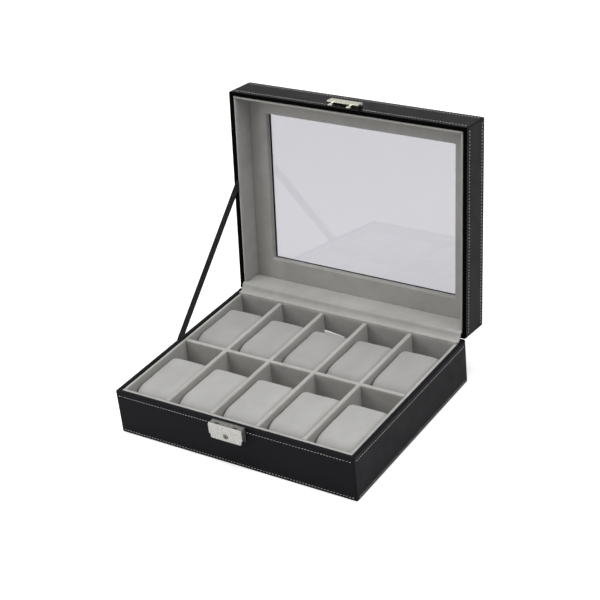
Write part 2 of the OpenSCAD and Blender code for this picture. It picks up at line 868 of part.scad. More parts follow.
// The hook's outline, hanging from the strike's lower edge: a shank with a barb to its right
module hook_outline() {
    low = hook_tip_z - lid_z;
    left = -(hook_w + barb_w) / 2;
    high = strike_low_z - lid_z + strike_t;
    polygon([[left, high], [left, low], [left + hook_w, low],
             [left + hook_w + barb_w, low + barb_h / 2], [left + hook_w + barb_w, low + barb_h],
             [left + hook_w, low + barb_h], [left + hook_w, high]]);
}

// Channel of folded sheet: a back leg on the wall, a web across and a front leg, from whose
// lower edge two hooks step back towards the wall and hang down
module strike() {
    half = lock_w / 2 - 1;
    face_y = front_y - strike_depth;
    high_z = lid_z + strike_h;
    color(steel_colour) open_lid() difference() {
        union() {
            block([-half, front_y - strike_t, strike_low_z], [half, front_y, high_z]);
            block([-half, face_y, high_z - strike_t], [half, front_y, high_z]);
            block([-half, face_y, strike_low_z], [half, face_y + strike_t, high_z]);
            for (side = [-1, 1]) {
                left = hook_x(side) - (hook_w + barb_w) / 2;
                block([left, face_y, strike_low_z],
                      [left + hook_w, hook_y + hook_t, strike_low_z + strike_t]);
                translate([hook_x(side), hook_y + hook_t, lid_z]) rotate([90, 0, 0])
                    linear_extrude(hook_t) hook_outline();
            }
        }
        for (side = [-1, 1])
            rod_y(side * nail_x, strike_nail_z, nail_r, front_y - strike_t - MORE,
                  front_y + MORE);
    }
}

module strike_nails() {
    color(steel_colour) open_lid() nails(strike_nail_z, front_y - strike_t);
}

// ---- The nodes ----

for (side = ["front", "back", "left", "right"]) {
    base_board(side);
    base_lining(side);
    lid_board(side);
    lid_lining(side);
}
base_bottom_board();
base_leather();
underside_felt();
base_floor_lining();
long_divider();
for (i = [1 : COLUMNS - 1])
    cross_divider(i);
for (row = ROWS, i = [1 : COLUMNS])
    pillow(row, i);
pillow_label();
lid_top_frame();
lid_leather();
lid_glass();
lid_bezel();
hinge_base_leaves();
hinge_lid_leaves();
hinge_pins();
hinge_base_rivets();
hinge_lid_rivets();
hinge_strip();
ribbon_stay();
lock_back_plate();
lock_cover();
lock_guide_posts();
lock_nails();
lock_bolt();
lock_barrel();
strike();
strike_nails();
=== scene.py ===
"""Dresses the watch box: leather shells, velour lining, stuffed pillows, stitching, ribbon and
metalwork."""
import math
import bmesh
import bpy
import numpy as np
from mathutils import Matrix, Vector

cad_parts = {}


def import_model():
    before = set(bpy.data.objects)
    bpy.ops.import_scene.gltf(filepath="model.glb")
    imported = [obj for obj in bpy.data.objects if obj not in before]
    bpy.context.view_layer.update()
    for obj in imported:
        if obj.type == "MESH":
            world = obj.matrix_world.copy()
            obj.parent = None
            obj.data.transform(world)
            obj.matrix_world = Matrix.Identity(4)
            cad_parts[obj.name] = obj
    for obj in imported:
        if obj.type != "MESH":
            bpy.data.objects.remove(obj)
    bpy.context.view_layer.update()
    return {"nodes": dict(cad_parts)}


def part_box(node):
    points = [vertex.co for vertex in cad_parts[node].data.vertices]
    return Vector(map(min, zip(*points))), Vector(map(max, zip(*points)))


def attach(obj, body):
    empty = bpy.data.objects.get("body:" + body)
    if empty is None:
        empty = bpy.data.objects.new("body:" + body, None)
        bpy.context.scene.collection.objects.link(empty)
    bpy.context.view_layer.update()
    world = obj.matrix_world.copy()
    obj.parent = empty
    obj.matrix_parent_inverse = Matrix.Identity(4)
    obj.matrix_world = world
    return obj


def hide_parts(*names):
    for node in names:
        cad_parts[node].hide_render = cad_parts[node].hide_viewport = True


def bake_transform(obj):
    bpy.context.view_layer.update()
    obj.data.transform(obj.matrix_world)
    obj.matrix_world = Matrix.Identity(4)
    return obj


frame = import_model()

# ---- Sizes, in metres, as the CAD has them ----
CASE_W, CASE_D, BASE_H = 0.250, 0.202, 0.045
LEATHER, RIM = 0.0007, 0.0040
LINING, LID_LINING, BACK_CARD, DROP = 0.0034, 0.0025, 0.0048, 0.0006
FELT = 0.0006
TURN_IN, TURN_UNDER = 0.012, 0.014
LID_Z, LID_TOP = 0.0455, 0.0795
TOP_T, GLASS_T, BEZEL_T = 0.0045, 0.0020, 0.0055
GLASS_Z = LID_TOP - TOP_T
BEZEL_Z = GLASS_Z - BEZEL_T
WINDOW_SIDE, WINDOW_END, BEZEL_STEP = 0.025, 0.027, 0.0014
AXIS = np.array([0.0, 0.1011, 0.04525])
OPEN = math.radians(96)
KNUCKLE_R, HINGE_L, HINGE_X, CLEAR = 0.0017, 0.030, 0.075, 0.0003
FLOOR_Z = 0.0054
DIVIDER = 0.0045
INNER_X, LID_INNER_X = CASE_W / 2 - RIM - LINING, CASE_W / 2 - RIM - LID_LINING
INNER_FRONT = -CASE_D / 2 + RIM + LINING
INNER_BACK = CASE_D / 2 - RIM - BACK_CARD
LINING_TOP = BASE_H - DROP
COLUMNS = 5
PLACE_W = (2 * INNER_X - (COLUMNS - 1) * DIVIDER) / COLUMNS
PLACE_D = (INNER_BACK - INNER_FRONT - DIVIDER) / 2
DIVIDER_Y = INNER_FRONT + PLACE_D + DIVIDER / 2
RIBBON_W, RIBBON_T, RIBBON_REACH, RIBBON_TAB = 0.009, 0.0005, 0.110, 0.015
RIBBON_X = -CASE_W / 2 + RIM + 0.00005 + RIBBON_T / 2


def column_x(i):
    """Middle of column i, counted from 1 at the left."""
    return -INNER_X + (i - 0.5) * PLACE_W + (i - 1) * DIVIDER


# ---- Mesh helpers ----

def opened(points):
    """The points of the closed lid, turned open about the hinge axis."""
    turned = np.array(points, float)
    y, z = turned[..., 1] - AXIS[1], turned[..., 2] - AXIS[2]
    turned[..., 1] = AXIS[1] + y * math.cos(OPEN) + z * math.sin(OPEN)
    turned[..., 2] = AXIS[2] - y * math.sin(OPEN) + z * math.cos(OPEN)
    return turned


def smooth_angle(mesh, degrees):
    """Smooth faces, with edges sharper than the angle kept sharp."""
    mesh.shade_smooth()
    mesh.set_sharp_from_angle(angle=math.radians(degrees))


def add_object(name, data):
    """A new object in the scene for a mesh, lamp or camera."""
    made = bpy.data.objects.new(name, data)
    bpy.context.scene.collection.objects.link(made)
    return made


def edited(mesh, change):
    """Changes a mesh through bmesh."""
    held = bmesh.new()
    held.from_mesh(mesh)
    change(held)
    held.to_mesh(mesh)
    held.free()


def merge_doubles(distance):
    """A change that joins corners closer than the distance."""
    return lambda held: bmesh.ops.remove_doubles(held, verts=held.verts, dist=distance)


def turn_outward(held):
    """A change that turns every face the same way out."""
    bmesh.ops.recalc_face_normals(held, faces=held.faces)


def piece(name, points, faces, material, body=None, replaced=(), lid=False,
          uv=None, angle=40, change=None):
    """A mesh piece from an array of points and its faces. It rides on a body if one is named."""
    points = opened(points) if lid else np.asarray(points, float)
    mesh = bpy.data.meshes.new(name)
    faces = faces if isinstance(faces, list) else faces.tolist()
    mesh.from_pydata(points.reshape(-1, 3).tolist(), [], faces)
    if uv is not None:
        layer = mesh.uv_layers.new(name="UVMap")
        corners = np.zeros(len(mesh.loops), np.int32)
        mesh.loops.foreach_get("vertex_index", corners)
        layer.data.foreach_set("uv", np.asarray(uv, float).reshape(-1, 2)[corners].ravel())
    if change:
        edited(mesh, change)
    mesh.validate()
    smooth_angle(mesh, angle)
    mesh.materials.append(material)
    made = add_object(name, mesh)
    if body:
        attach(made, body)
    if replaced:
        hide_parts(*replaced)
    return made


def grid_faces(rows, columns, close_rows=False, close_columns=False):
    """The quads of a grid of points, row by row, joined end to end where asked."""
    i = np.arange(rows if close_rows else rows - 1)[:, None]
    j = np.arange(columns if close_columns else columns - 1)[None, :]
    down, right = (i + 1) % rows, (j + 1) % columns
    return np.stack([i * columns + j, i * columns + right, down * columns + right,
                     down * columns + j], axis=-1).reshape(-1, 4)


def wave(points, seed, size):
    """A smooth uneven value from -1 to 1 over space: a sum of sines along tilted directions."""
    draw = np.random.default_rng(seed)
    total = np.zeros(points.shape[:-1])
    for _ in range(7):
        way = draw.normal(size=3)
        way /= np.linalg.norm(way)
        length = size * draw.uniform(0.6, 1.8)
        total += np.sin(points @ way * 2 * math.pi / length + draw.uniform(0, 2 * math.pi))
    return total / 4


def samples(low, high, r, step):
    """Places from low to high: close together over the rounding r at each end."""
    edge = r * (1 - np.cos(np.linspace(0, math.pi / 2, 5)))
    inner = np.linspace(low + r, high - r, max(2, int(round((high - low - 2 * r) / step)) + 1))
    return np.concatenate([low + edge[:-1], inner, (high - edge[:-1])[::-1]])


def rounded_box(low, high, r, step):
    """Points and faces of a box whose edges are round: each point of a fine grid on the box
    is pulled to the distance r from the box drawn in by r."""
    low, high = np.array(low, float), np.array(high, float)
    r = min(r, float(min(high - low)) / 2 - 1e-6)
    axes = [samples(low[k], high[k], r, step) for k in range(3)]
    points, faces, count = [], [], 0
    for k in range(3):
        a, b = (k + 1) % 3, (k + 2) % 3
        for side, value in ((0, low[k]), (1, high[k])):
            first, second = (a, b) if side else (b, a)
            u, v = np.meshgrid(axes[first], axes[second], indexing="ij")
            face = np.zeros(u.shape + (3,))
            face[..., k], face[..., first], face[..., second] = value, u, v
            quads = grid_faces(*u.shape)[:, ::-1]
            points.append(face.reshape(-1, 3))
            faces.append(quads + count)
            count += face.size // 3
    points, faces = np.concatenate(points), np.concatenate(faces)
    core = np.clip(points, low + r, high - r)
    out = points - core
    length = np.linalg.norm(out, axis=1, keepdims=True)
    points = core + out / np.maximum(length, 1e-12) * r
    return points, faces, out / np.maximum(length, 1e-12)


def soft_board(name, low, high, r, material, body, replaced, lid=False, seed=0, uneven=0.00012):
    """A card wrapped in cloth: a round-edged box with a slightly uneven surface."""
    points, faces, out = rounded_box(low, high, r, 0.004)
    points = points - out * (0.5 + 0.5 * wave(points, seed, 0.03))[:, None] * uneven
    return piece(name, points, faces, material, body, [replaced], lid,
                 change=merge_doubles(1e-6))


# ---- Rings round the case ----

CORE_X, CORE_Y = 0.092, 0.070


def side_places(half, marks, step):
    """Places along one side of the case from -half to half, with some marks added."""
    even = np.linspace(-half, half, int(round(2 * half / step)) + 1)
    return np.unique(np.concatenate([even, marks]))


def stretched(places, nominal, core, half):
    """Places on a side of length 2 * half: those within the core stay, the rest stretch."""
    outer = core + (np.abs(places) - core) / (nominal - core) * (half - core)
    return np.where(np.abs(places) <= core, places, np.sign(places) * outer)


def rings(margin_x, margin_y, z, r, marks=(), step=0.003, turns=6):
    """A grid of rings round the case, one for each margin and height. A ring is a rounded
    rectangle: four straight sides and four quarter circles of radius r."""
    margin_x, margin_y, z, r = (np.asarray(v, float)[:, None]
                                for v in np.broadcast_arrays(margin_x, margin_y, z, r))
    nominal_x, nominal_y = CASE_W / 2 - 0.001, CASE_D / 2 - 0.001
    along_x = side_places(nominal_x, np.asarray(marks, float), step)[None, :]
    along_y = side_places(nominal_y, np.zeros(0), step)[None, :]
    half_x, half_y = CASE_W / 2 - margin_x - r, CASE_D / 2 - margin_y - r
    sx = stretched(along_x, nominal_x, CORE_X, half_x)
    sy = stretched(along_y, nominal_y, CORE_Y, half_y)
    bend = np.linspace(0, math.pi / 2, turns + 1)[1:-1][None, :]
    one_x, one_y = np.ones_like(sx), np.ones_like(sy)
    parts = []

    for side, cx, cy, start in (((sx, -(half_y + r) * one_x), 1, -1, -math.pi / 2),
                                (((half_x + r) * one_y, sy), 1, 1, 0.0),
                                ((-sx, (half_y + r) * one_x), -1, 1, math.pi / 2),
                                ((-(half_x + r) * one_y, -sy), -1, -1, math.pi)):
        parts += [side, (cx * half_x + r * np.cos(start + bend),
                         cy * half_y + r * np.sin(start + bend))]
    x = np.concatenate([p[0] for p in parts], axis=1)
    y = np.concatenate([p[1] for p in parts], axis=1)
    return np.stack([x, y, np.broadcast_to(z, x.shape)], axis=-1)


def arc(cx, cy, r, start, end, count):
    """Points on a circle's arc, in degrees, as (a, b) pairs."""
    a = np.radians(np.linspace(start, end, count))
    return np.stack([cx + r * np.cos(a), cy + r * np.sin(a)], axis=1)


def line(a, b, count):
    """Points on a line between two places, without its last one."""
    t = np.linspace(0, 1, count + 1)[:-1, None]
    return np.array(a) * (1 - t) + np.array(b) * t


def dense_line(a, b, marks, step):
    """Points on an upright line, with extra ones close round each mark's height."""
    low, high = sorted((a[1], b[1]))
    z = np.linspace(low, high, max(2, int((high - low) / step)))
    near = np.concatenate([m + np.linspace(-0.0016, 0.0016, 13) for m in marks])
    z = np.unique(np.concatenate([z, near[(near > low) & (near < high)]]))
    z = z if b[1] > a[1] else z[::-1]
    return np.stack([np.full_like(z, a[0]), z], axis=1)[:-1]


EDGE = 0.0009                     # rounding of the leather's edges
CORNER_R, LEAST_R = 0.0016, 0.0006  # the case's upright corners, outside and within
CREASE_DEPTH, CREASE_FADE, CREASE_SWELL = 0.0035, 0.002, 0.0002
MORTISE_DEPTH, MORTISE_REACH, LEAF_H = 0.006, 0.02, 0.0093
WINDOW_EDGE = 0.0020              # rounding of the leather where it turns into the window
STITCH_BASE = (0.0033, 0.0400)
STITCH_LID = (LID_Z + 0.0055, LID_TOP - 0.0045)
NOTCHES = [s * HINGE_X + e * (HINGE_L / 2 + CLEAR) for s in (-1, 1) for e in (-1, 1)]
NOTCH_MARKS = np.array([n + d for n in NOTCHES for d in (-3e-5, 3e-5)])


def in_notch(x):
    """True where x lies within one of the two hinges' mortises."""
    return np.abs(np.abs(x) - HINGE_X) < HINGE_L / 2 + CLEAR


def wall_relief(points, marks, seed):
    """How far the leather lies in from the flat wall: a groove pulled in along each row of
    stitches, and a slight waviness of the board."""
    depth = 0.00005 * (1 + wave(points, seed, 0.05))
    for m in marks:
        depth = depth + 0.00016 * np.exp(-((points[..., 2] - m) / 0.00045) ** 2)
    return depth


def hinge_crease(points, profile, level, way):
    """Along the hinge line the rim's outer edge is creased sharper: its rounding goes from a
    circle to a squarer curve, and the rim swells by a hair."""
    margin, z = profile[:, 0], profile[:, -1]
    near = np.clip((points[..., 1] - CASE_D / 2 + CREASE_DEPTH) / CREASE_FADE, 0, 1)
    u = np.clip(1 - margin / EDGE, 0, 1)
    gain = EDGE * ((1 - u ** 6) ** (1 / 6) - np.sqrt(1 - u * u)) + CREASE_SWELL
    rows = (margin <= RIM + 1e-9) & (np.abs(z - level) <= EDGE + 1e-9)
    points[..., 2] += way * near * (gain * rows)[:, None]


def wall_mask(rows_outer, points):
    """Which points lie on the flat outer faces, and the way out of the wall there."""
    out = np.zeros_like(points)
    flat_x = np.abs(np.abs(points[..., 0]) - CASE_W / 2) < 1e-7
    flat_y = np.abs(np.abs(points[..., 1]) - CASE_D / 2) < 1e-7
    out[..., 0] = np.sign(points[..., 0]) * flat_x
    out[..., 1] = np.sign(points[..., 1]) * flat_y
    return out * rows_outer[:, None, None]


def mortises(points, level, way):
    """Cuts the two hinges' mortises, from the back wall only: the leather is pressed back to the
    leaves and notched round the knuckles. The way is 1 for the base and -1 for the lid."""
    y, up = points[..., 1], way * points[..., 2]
    back = (y > CASE_D / 2 - MORTISE_DEPTH) & in_notch(points[..., 0]) & \
        (up > way * level - MORTISE_REACH)
    reach = np.maximum((KNUCKLE_R + CLEAR) ** 2 - (y - AXIS[1]) ** 2, 0)
    limit = np.where(reach > 0, way * AXIS[2] - np.sqrt(reach), 1.0)
    limit = np.minimum(limit, way * level - LEATHER + 1e-5)
    up = np.where(back, np.minimum(up, limit), up)
    inside = back & (y < CASE_D / 2 - RIM + LEATHER) & (up > way * level - LEAF_H)
    points[..., 1] = np.where(inside, CASE_D / 2 - RIM + LEATHER, y)
    points[..., 2] = way * up


def shell(profile, start, count, marks, seed, level, way):
    """A leather shell's grid of points: the profile's margins and heights carried round the
    case, with the relief of the walls, the crease along the hinge line and the mortises."""
    rows_outer = np.zeros(len(profile))
    rows_outer[start:start + count] = 1
    r = np.maximum(CORNER_R - profile[:, 0], LEAST_R)
    points = rings(*profile.T, r, NOTCH_MARKS)
    out = wall_mask(rows_outer, points)
    points = points - out * wall_relief(points, marks, seed)[..., None]
    hinge_crease(points, profile, level, way)
    mortises(points, level, way)
    return points


def even_margin(pairs):
    """A profile of margin and height, with the same margin on all four sides."""
    return np.stack([pairs[:, 0], pairs[:, 0], pairs[:, 1]], axis=1)


def base_shell(material):
    """The base's leather: a closed loop of margin and height carried round the case."""
    outer = dense_line((0, FELT + EDGE), (0, BASE_H - EDGE), STITCH_BASE, 0.004)
    loop = [line((TURN_UNDER, FELT), (EDGE, FELT), 4),
            arc(EDGE, FELT + EDGE, EDGE, 270, 180, 6)[:-1], outer,
            arc(EDGE, BASE_H - EDGE, EDGE, 180, 90, 6)[:-1],
            line((EDGE, BASE_H), (RIM - EDGE, BASE_H), 3),
            arc(RIM - EDGE, BASE_H - EDGE, EDGE, 90, 0, 6)[:-1],
            line((RIM, BASE_H - EDGE), (RIM, BASE_H - TURN_IN), 3),
            np.array([[RIM, BASE_H - TURN_IN], [RIM - LEATHER, BASE_H - TURN_IN],
                      [RIM - LEATHER, BASE_H - LEATHER], [LEATHER, BASE_H - LEATHER],
                      [LEATHER, FELT + LEATHER], [TURN_UNDER, FELT + LEATHER]])]
    start = sum(len(part) for part in loop[:2])
    points = shell(even_margin(np.concatenate(loop)), start, len(outer), STITCH_BASE, 3,
                   BASE_H, 1)
    return piece("base_leather_cover", points, grid_faces(*points.shape[:2], True, True),
                 material, "base", ["base_leather"], angle=50)


def lid_shell(material):
    """The lid's leather: a closed loop from the turned-in rim, up the wall, over the top and
    down into the window, carried round the case."""
    wx, wy, soft = WINDOW_SIDE, WINDOW_END, WINDOW_EDGE
    outer = dense_line((0, LID_Z + EDGE), (0, LID_TOP - EDGE), STITCH_LID, 0.004)
    low = [line((RIM, LID_Z + TURN_IN), (RIM, LID_Z + EDGE), 3),
           arc(RIM - EDGE, LID_Z + EDGE, EDGE, 0, -90, 6)[:-1],
           line((RIM - EDGE, LID_Z), (EDGE, LID_Z), 3),
           arc(EDGE, LID_Z + EDGE, EDGE, 270, 180, 6)[:-1], outer,
           arc(EDGE, LID_TOP - EDGE, EDGE, 180, 90, 6)]
    start = sum(len(part) for part in low[:4])
    across = np.linspace(0, 1, 12)[1:-1]
    top = np.stack([EDGE + (wx - EDGE - soft) * across, EDGE + (wy - EDGE - soft) * across,
                    np.full_like(across, LID_TOP)], axis=1)
    bend = arc(0, 0, soft, 90, 0, 8)
    edge = np.stack([wx - soft + bend[:, 0], wy - soft + bend[:, 0],
                     LID_TOP - soft + bend[:, 1]], axis=1)
    window = [[wx, wy, LID_TOP - TOP_T + GLASS_T],
              [wx - LEATHER, wy - LEATHER, LID_TOP - TOP_T + GLASS_T],
              [wx - LEATHER, wy - LEATHER, LID_TOP - LEATHER]]
    hidden = np.array([[LEATHER, LID_TOP - LEATHER], [LEATHER, LID_Z + LEATHER],
                       [RIM - LEATHER, LID_Z + LEATHER], [RIM - LEATHER, LID_Z + TURN_IN]])
    profile = np.concatenate([even_margin(np.concatenate(low)), top, edge, window,
                              even_margin(hidden)])
    points = shell(profile, start, len(outer), STITCH_LID, 5, LID_Z, -1)
    top_rows = np.abs(points[..., 2] - LID_TOP) < 1e-7
    points[..., 2] -= top_rows * 0.00006 * (1 + wave(points, 8, 0.05))
    made = piece("lid_leather_cover", points, grid_faces(*points.shape[:2], True, True),
                 material, "lid", ["lid_leather"], lid=True, angle=50)
    # the turned rim is painted near black and less shiny: painted shade
    rim = np.clip((LID_Z + EDGE * 1.2 - points[..., 2]) / (EDGE * 0.6), 0, 1)
    made.data.attributes.new("rim", "FLOAT", "POINT").data.foreach_set("value", rim.ravel())
    return made


def bezel(material):
    """The lined frame round the glass: a closed loop from its rounded inner edge, out over its
    face and back behind, carried round the window."""
    swell, r = 0.0007, 0.0016
    mx, my = WINDOW_SIDE - BEZEL_STEP + swell, WINDOW_END - BEZEL_STEP + swell
    top, low = GLASS_Z - 0.00005, BEZEL_Z
    bend = arc(0, 0, r, 0, -90, 8)
    inner = np.array([[mx, my, top], [mx, my, low + r + 0.0008]])
    edge = np.stack([mx - r + bend[:, 0], my - r + bend[:, 0], low + r + bend[:, 1]], axis=1)
    out = 0.0034
    across = np.linspace(0, 1, 14)[1:, None]
    face = (1 - across) * edge[-1] + across * np.array([out, out, low])
    back = np.array([[out, out, top]])
    profile = np.concatenate([inner, edge, face, back])
    points = rings(profile[:, 0], profile[:, 1], profile[:, 2], 0.0012)
    # its opening sits a hair off the middle
    points[:len(inner) + len(edge), :, :2] += (0.0003, -0.0006)
    on_face = np.abs(points[..., 2] - low) < 1e-7
    points[..., 2] += on_face * 0.0001 * (1 + wave(points, 12, 0.035))
    faces = grid_faces(*points.shape[:2], True, True)
    return piece("window_bezel", points, faces, material, "lid", ["lid_bezel"],
                 lid=True, angle=50)


# ---- Stitching ----

STITCH_L, STITCH_R, STITCH_PITCH, STITCH_SINK = 0.0021, 0.00024, 0.0031, 0.00016


def dashes(name, centres, along, out, material, body, lid):
    """A row of stitches in one mesh. Each is a short thread: a six-sided tube that rises in
    the middle and dips under the leather at both ends."""
    t = np.linspace(-1, 1, 5)
    ring = np.radians(np.arange(6) * 60)
    shrink = np.array([0.35, 0.9, 1, 0.9, 0.35])
    lift = np.array([-0.9, 0.35, 0.7, 0.35, -0.9]) * STITCH_R
    across = np.cross(out, along)
    count = len(centres)
    spine = centres[:, None, :] + along[:, None, :] * (t * STITCH_L / 2)[None, :, None] \
        + out[:, None, :] * lift[None, :, None]
    round_ = across[:, None, None, :] * (np.cos(ring)[None, None, :, None]) \
        + out[:, None, None, :] * (np.sin(ring)[None, None, :, None])
    points = spine[:, :, None, :] + round_ * (STITCH_R * shrink)[None, :, None, None]
    quads = grid_faces(5, 6, False, True)
    ends = np.array([[5, 4, 3, 2], [5, 2, 1, 0], [24, 25, 26, 27], [24, 27, 28, 29]])
    one = np.concatenate([quads[:, ::-1], ends[:, ::-1]])
    faces = (one[None] + (np.arange(count) * 30)[:, None, None]).reshape(-1, 4)
    return piece(name, points, faces, material, body, lid=lid, angle=80)


def seam(name, z, seed, material, body, lid=False):
    """One row of stitches round the case: evenly spaced on each wall, each tilted a little."""
    centres, ways, outs = [], [], []
    draw = np.random.default_rng(seed)
    wide, deep = (CASE_W / 2, CASE_D / 2), (CASE_D / 2, CASE_W / 2)
    for along, out, (half, depth) in (((1, 0, 0), (0, -1, 0), wide), ((0, 1, 0), (1, 0, 0), deep),
                                      ((-1, 0, 0), (0, 1, 0), wide),
                                      ((0, -1, 0), (-1, 0, 0), deep)):
        count = int((2 * half - 0.004) // STITCH_PITCH)
        place = (np.arange(count) - (count - 1) / 2) * STITCH_PITCH
        tilt = 0.05 + draw.normal(0, 0.02, count)
        way = np.array(along)[None] * np.cos(tilt)[:, None] \
            + np.array([0, 0, 1])[None] * np.sin(tilt)[:, None]
        centre = np.array(along)[None] * place[:, None] \
            + np.array(out)[None] * (depth - STITCH_SINK)
        centre[:, 2] = z + draw.normal(0, 0.00004, count)
        centres.append(centre)
        ways.append(way)
        outs.append(np.repeat(np.array([out], float), count, axis=0))
    return dashes(name, np.concatenate(centres), np.concatenate(ways), np.concatenate(outs),
                  material, body, lid)


# ---- Pillows ----

PILLOW_W, PILLOW_L, PILLOW_H, PILLOW_GAP = PLACE_W - 0.0018, 0.069, 0.035, 0.0009
PILLOW_EDGE = 0.0048              # rounding of a pillow's edges
CLOTH_SHARE, CLOTH_REACH = 0.3, 0.0022  # how much of the blown shape is kept, and its most
CLOTH_FRAMES = 20


def corners_of(mesh):
    """A mesh's points as an array."""
    flat = np.zeros(len(mesh.vertices) * 3)
    mesh.vertices.foreach_get("co", flat)
    return flat.reshape(-1, 3)


def stuffed(name, low, high, rise, seed, material, body, replaced):
    """A pillow: a round-edged block, blown up as cloth, pressed back into its place, with its
    top crowned; little is left of what would draw its seams in."""
    low, high = np.array(low), np.array(high)
    centre = (low + high) / 2
    shrink = np.array([0.0004, 0.0004, 0.0002])
    points, faces, _ = rounded_box(low + shrink - centre, high - shrink - centre,
                                   PILLOW_EDGE, 0.003)
    mesh = bpy.data.meshes.new(name)
    mesh.from_pydata(points.tolist(), [], faces.tolist())
    made = add_object(name, mesh)
    edited(mesh, merge_doubles(1e-6))
    bpy.context.view_layer.objects.active = made
    remesh = made.modifiers.new("even", "REMESH")
    remesh.mode, remesh.voxel_size = "VOXEL", 0.003
    apply_all(made)
    rest = corners_of(made.data)
    # small bumps before the cloth is blown up give each pillow its own creases
    start = rest * (1 + 0.006 * wave(rest, seed, 0.022)[:, None])
    made.data.vertices.foreach_set("co", start.ravel())
    cloth = made.modifiers.new("blown", "CLOTH")
    settings = cloth.settings
    settings.quality = 6
    settings.mass = 0.3
    settings.use_pressure = True
    settings.uniform_pressure_force = 4
    settings.tension_stiffness = settings.compression_stiffness = 12
    settings.bending_stiffness = 0.4
    settings.shrink_min = -0.06
    settings.effector_weights.gravity = 0
    cloth.collision_settings.use_collision = False
    cloth.point_cache.frame_start, cloth.point_cache.frame_end = 1, CLOTH_FRAMES
    for step in range(1, CLOTH_FRAMES + 1):
        bpy.context.scene.frame_set(step)
    apply_all(made)
    bpy.context.scene.frame_set(1)
    # the filling holds the edges out, so little is left of what would draw them in
    move = (corners_of(made.data) - rest) * CLOTH_SHARE
    half = (high - low) / 2
    out = rest - np.clip(rest, PILLOW_EDGE - half, half - PILLOW_EDGE)
    out /= np.maximum(np.linalg.norm(out, axis=1, keepdims=True), 1e-9)
    along = np.sum(move * out, axis=1, keepdims=True)
    move -= out * np.minimum(along, 0) * 0.95
    far = np.linalg.norm(move, axis=1, keepdims=True)
    points = rest + move * np.minimum(1, CLOTH_REACH / np.maximum(far, 1e-9))
    points = pillow_form(points, (high - low) / 2, rise, seed)
    made.data.vertices.foreach_set("co", (points + centre).ravel())
    fine = made.modifiers.new("fine", "SUBSURF")
    fine.levels = fine.render_levels = 1
    made.data.shade_smooth()
    made.data.materials.clear()
    made.data.materials.append(material)
    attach(made, body)
    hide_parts(*replaced)
    return made


def pillow_form(points, half, rise, seed):
    """Fits a blown pillow into its place. The front end stands back from the wall and rolls
    down to it along an ellipse, in height and a little in width; the whole is stretched up by
    the rise; then every axis is held at its limit by a soft bound, so that the sides lie flat
    against their place."""
    x, y, z = (points / half).T
    start, length = -0.39, 0.48
    y = np.where(y < start, start + (y - start) * length / (1 + start), y)
    roll = 1 - np.sqrt(1 - 0.985 * np.clip((start - y) / length, 0, 1) ** 2)
    top = np.clip(z, 0, 1)
    draw = np.random.default_rng(seed + 40)
    lean = draw.uniform(-0.012, 0.012, 2)
    fall = 0.68 * roll + 0.02 * x * x + 0.02 * np.clip(y, 0, 1) ** 2
    z = z * (1 - fall * top) + top * (lean[0] * x + lean[1] * y)
    z = z + 0.005 * wave(points, seed + 7, 0.03) * top
    z = (z + 1) * (1 + rise / (2 * half[2])) - 1
    x = x * (1.02 - 0.22 * roll) * (1 + 0.002 * wave(points, seed + 9, 0.04))
    q = np.stack([x, y, z], axis=1)
    limit = np.array([1.02, 1.0, 1 + rise / half[2]])
    return q / (1 + np.abs(q / limit) ** 40) ** (1 / 40) * half


def apply_all(made):
    """Turns the object's modifiers into its mesh."""
    graph = bpy.context.evaluated_depsgraph_get()
    graph.update()
    mesh = bpy.data.meshes.new_from_object(made.evaluated_get(graph))
    made.modifiers.clear()
    made.data = mesh


# ---- Ribbon, hinge strip and label ----

def carried(path, sideways, half, thick, count):
    """A flat band carried along a path: each cross-section is a flattened oval, wide along
    the path's normal and thick along the sideways direction. Returns points and uv."""
    path = np.asarray(path, float)
    way = np.gradient(path, axis=0)
    way /= np.linalg.norm(way, axis=1, keepdims=True)
    wide = np.cross(way, sideways)
    angle = np.linspace(0, 2 * math.pi, count, endpoint=False)
    c, s = np.cos(angle), np.sin(angle)
    # a superellipse keeps the band's faces flat and its edges round
    a = np.sign(c) * np.abs(c) ** 0.35
    b = np.sign(s) * np.abs(s) ** 0.8
    points = path[:, None, :] + wide[:, None, :] * (a * half)[None, :, None] \
        + np.array(sideways)[None, None, :] * (b * thick)[None, :, None]
    length = np.concatenate([[0], np.cumsum(np.linalg.norm(np.diff(path, axis=0), axis=1))])
    uv = np.stack(np.broadcast_arrays(a[None, :] * half, length[:, None]), axis=-1)
    return points, uv


def capped(points, faces):
    """Closes both ends of a tube of rings with a fan each."""
    rows, columns = points.shape[:2]
    flat = points.reshape(-1, 3)
    ends = np.stack([points[0].mean(axis=0), points[-1].mean(axis=0)])
    first, last = len(flat), len(flat) + 1
    j = np.arange(columns)
    after = (j + 1) % columns
    base = (rows - 1) * columns
    low = np.stack([np.full(columns, first), after, j], axis=1)
    high = np.stack([np.full(columns, last), base + j, base + after], axis=1)
    return np.concatenate([flat, ends]), faces.tolist() + low.tolist() + high.tolist()


def straight(a, b, count):
    """Places from a to b, without the first."""
    return a + (b - a) * np.linspace(0, 1, count)[1:, None]


def bent(a, b, c):
    """Places on a smooth bend from a to c that heads for b, without the first."""
    t = np.linspace(0, 1, 9)[1:, None]
    return (1 - t) ** 2 * a + 2 * t * (1 - t) * b + t * t * c


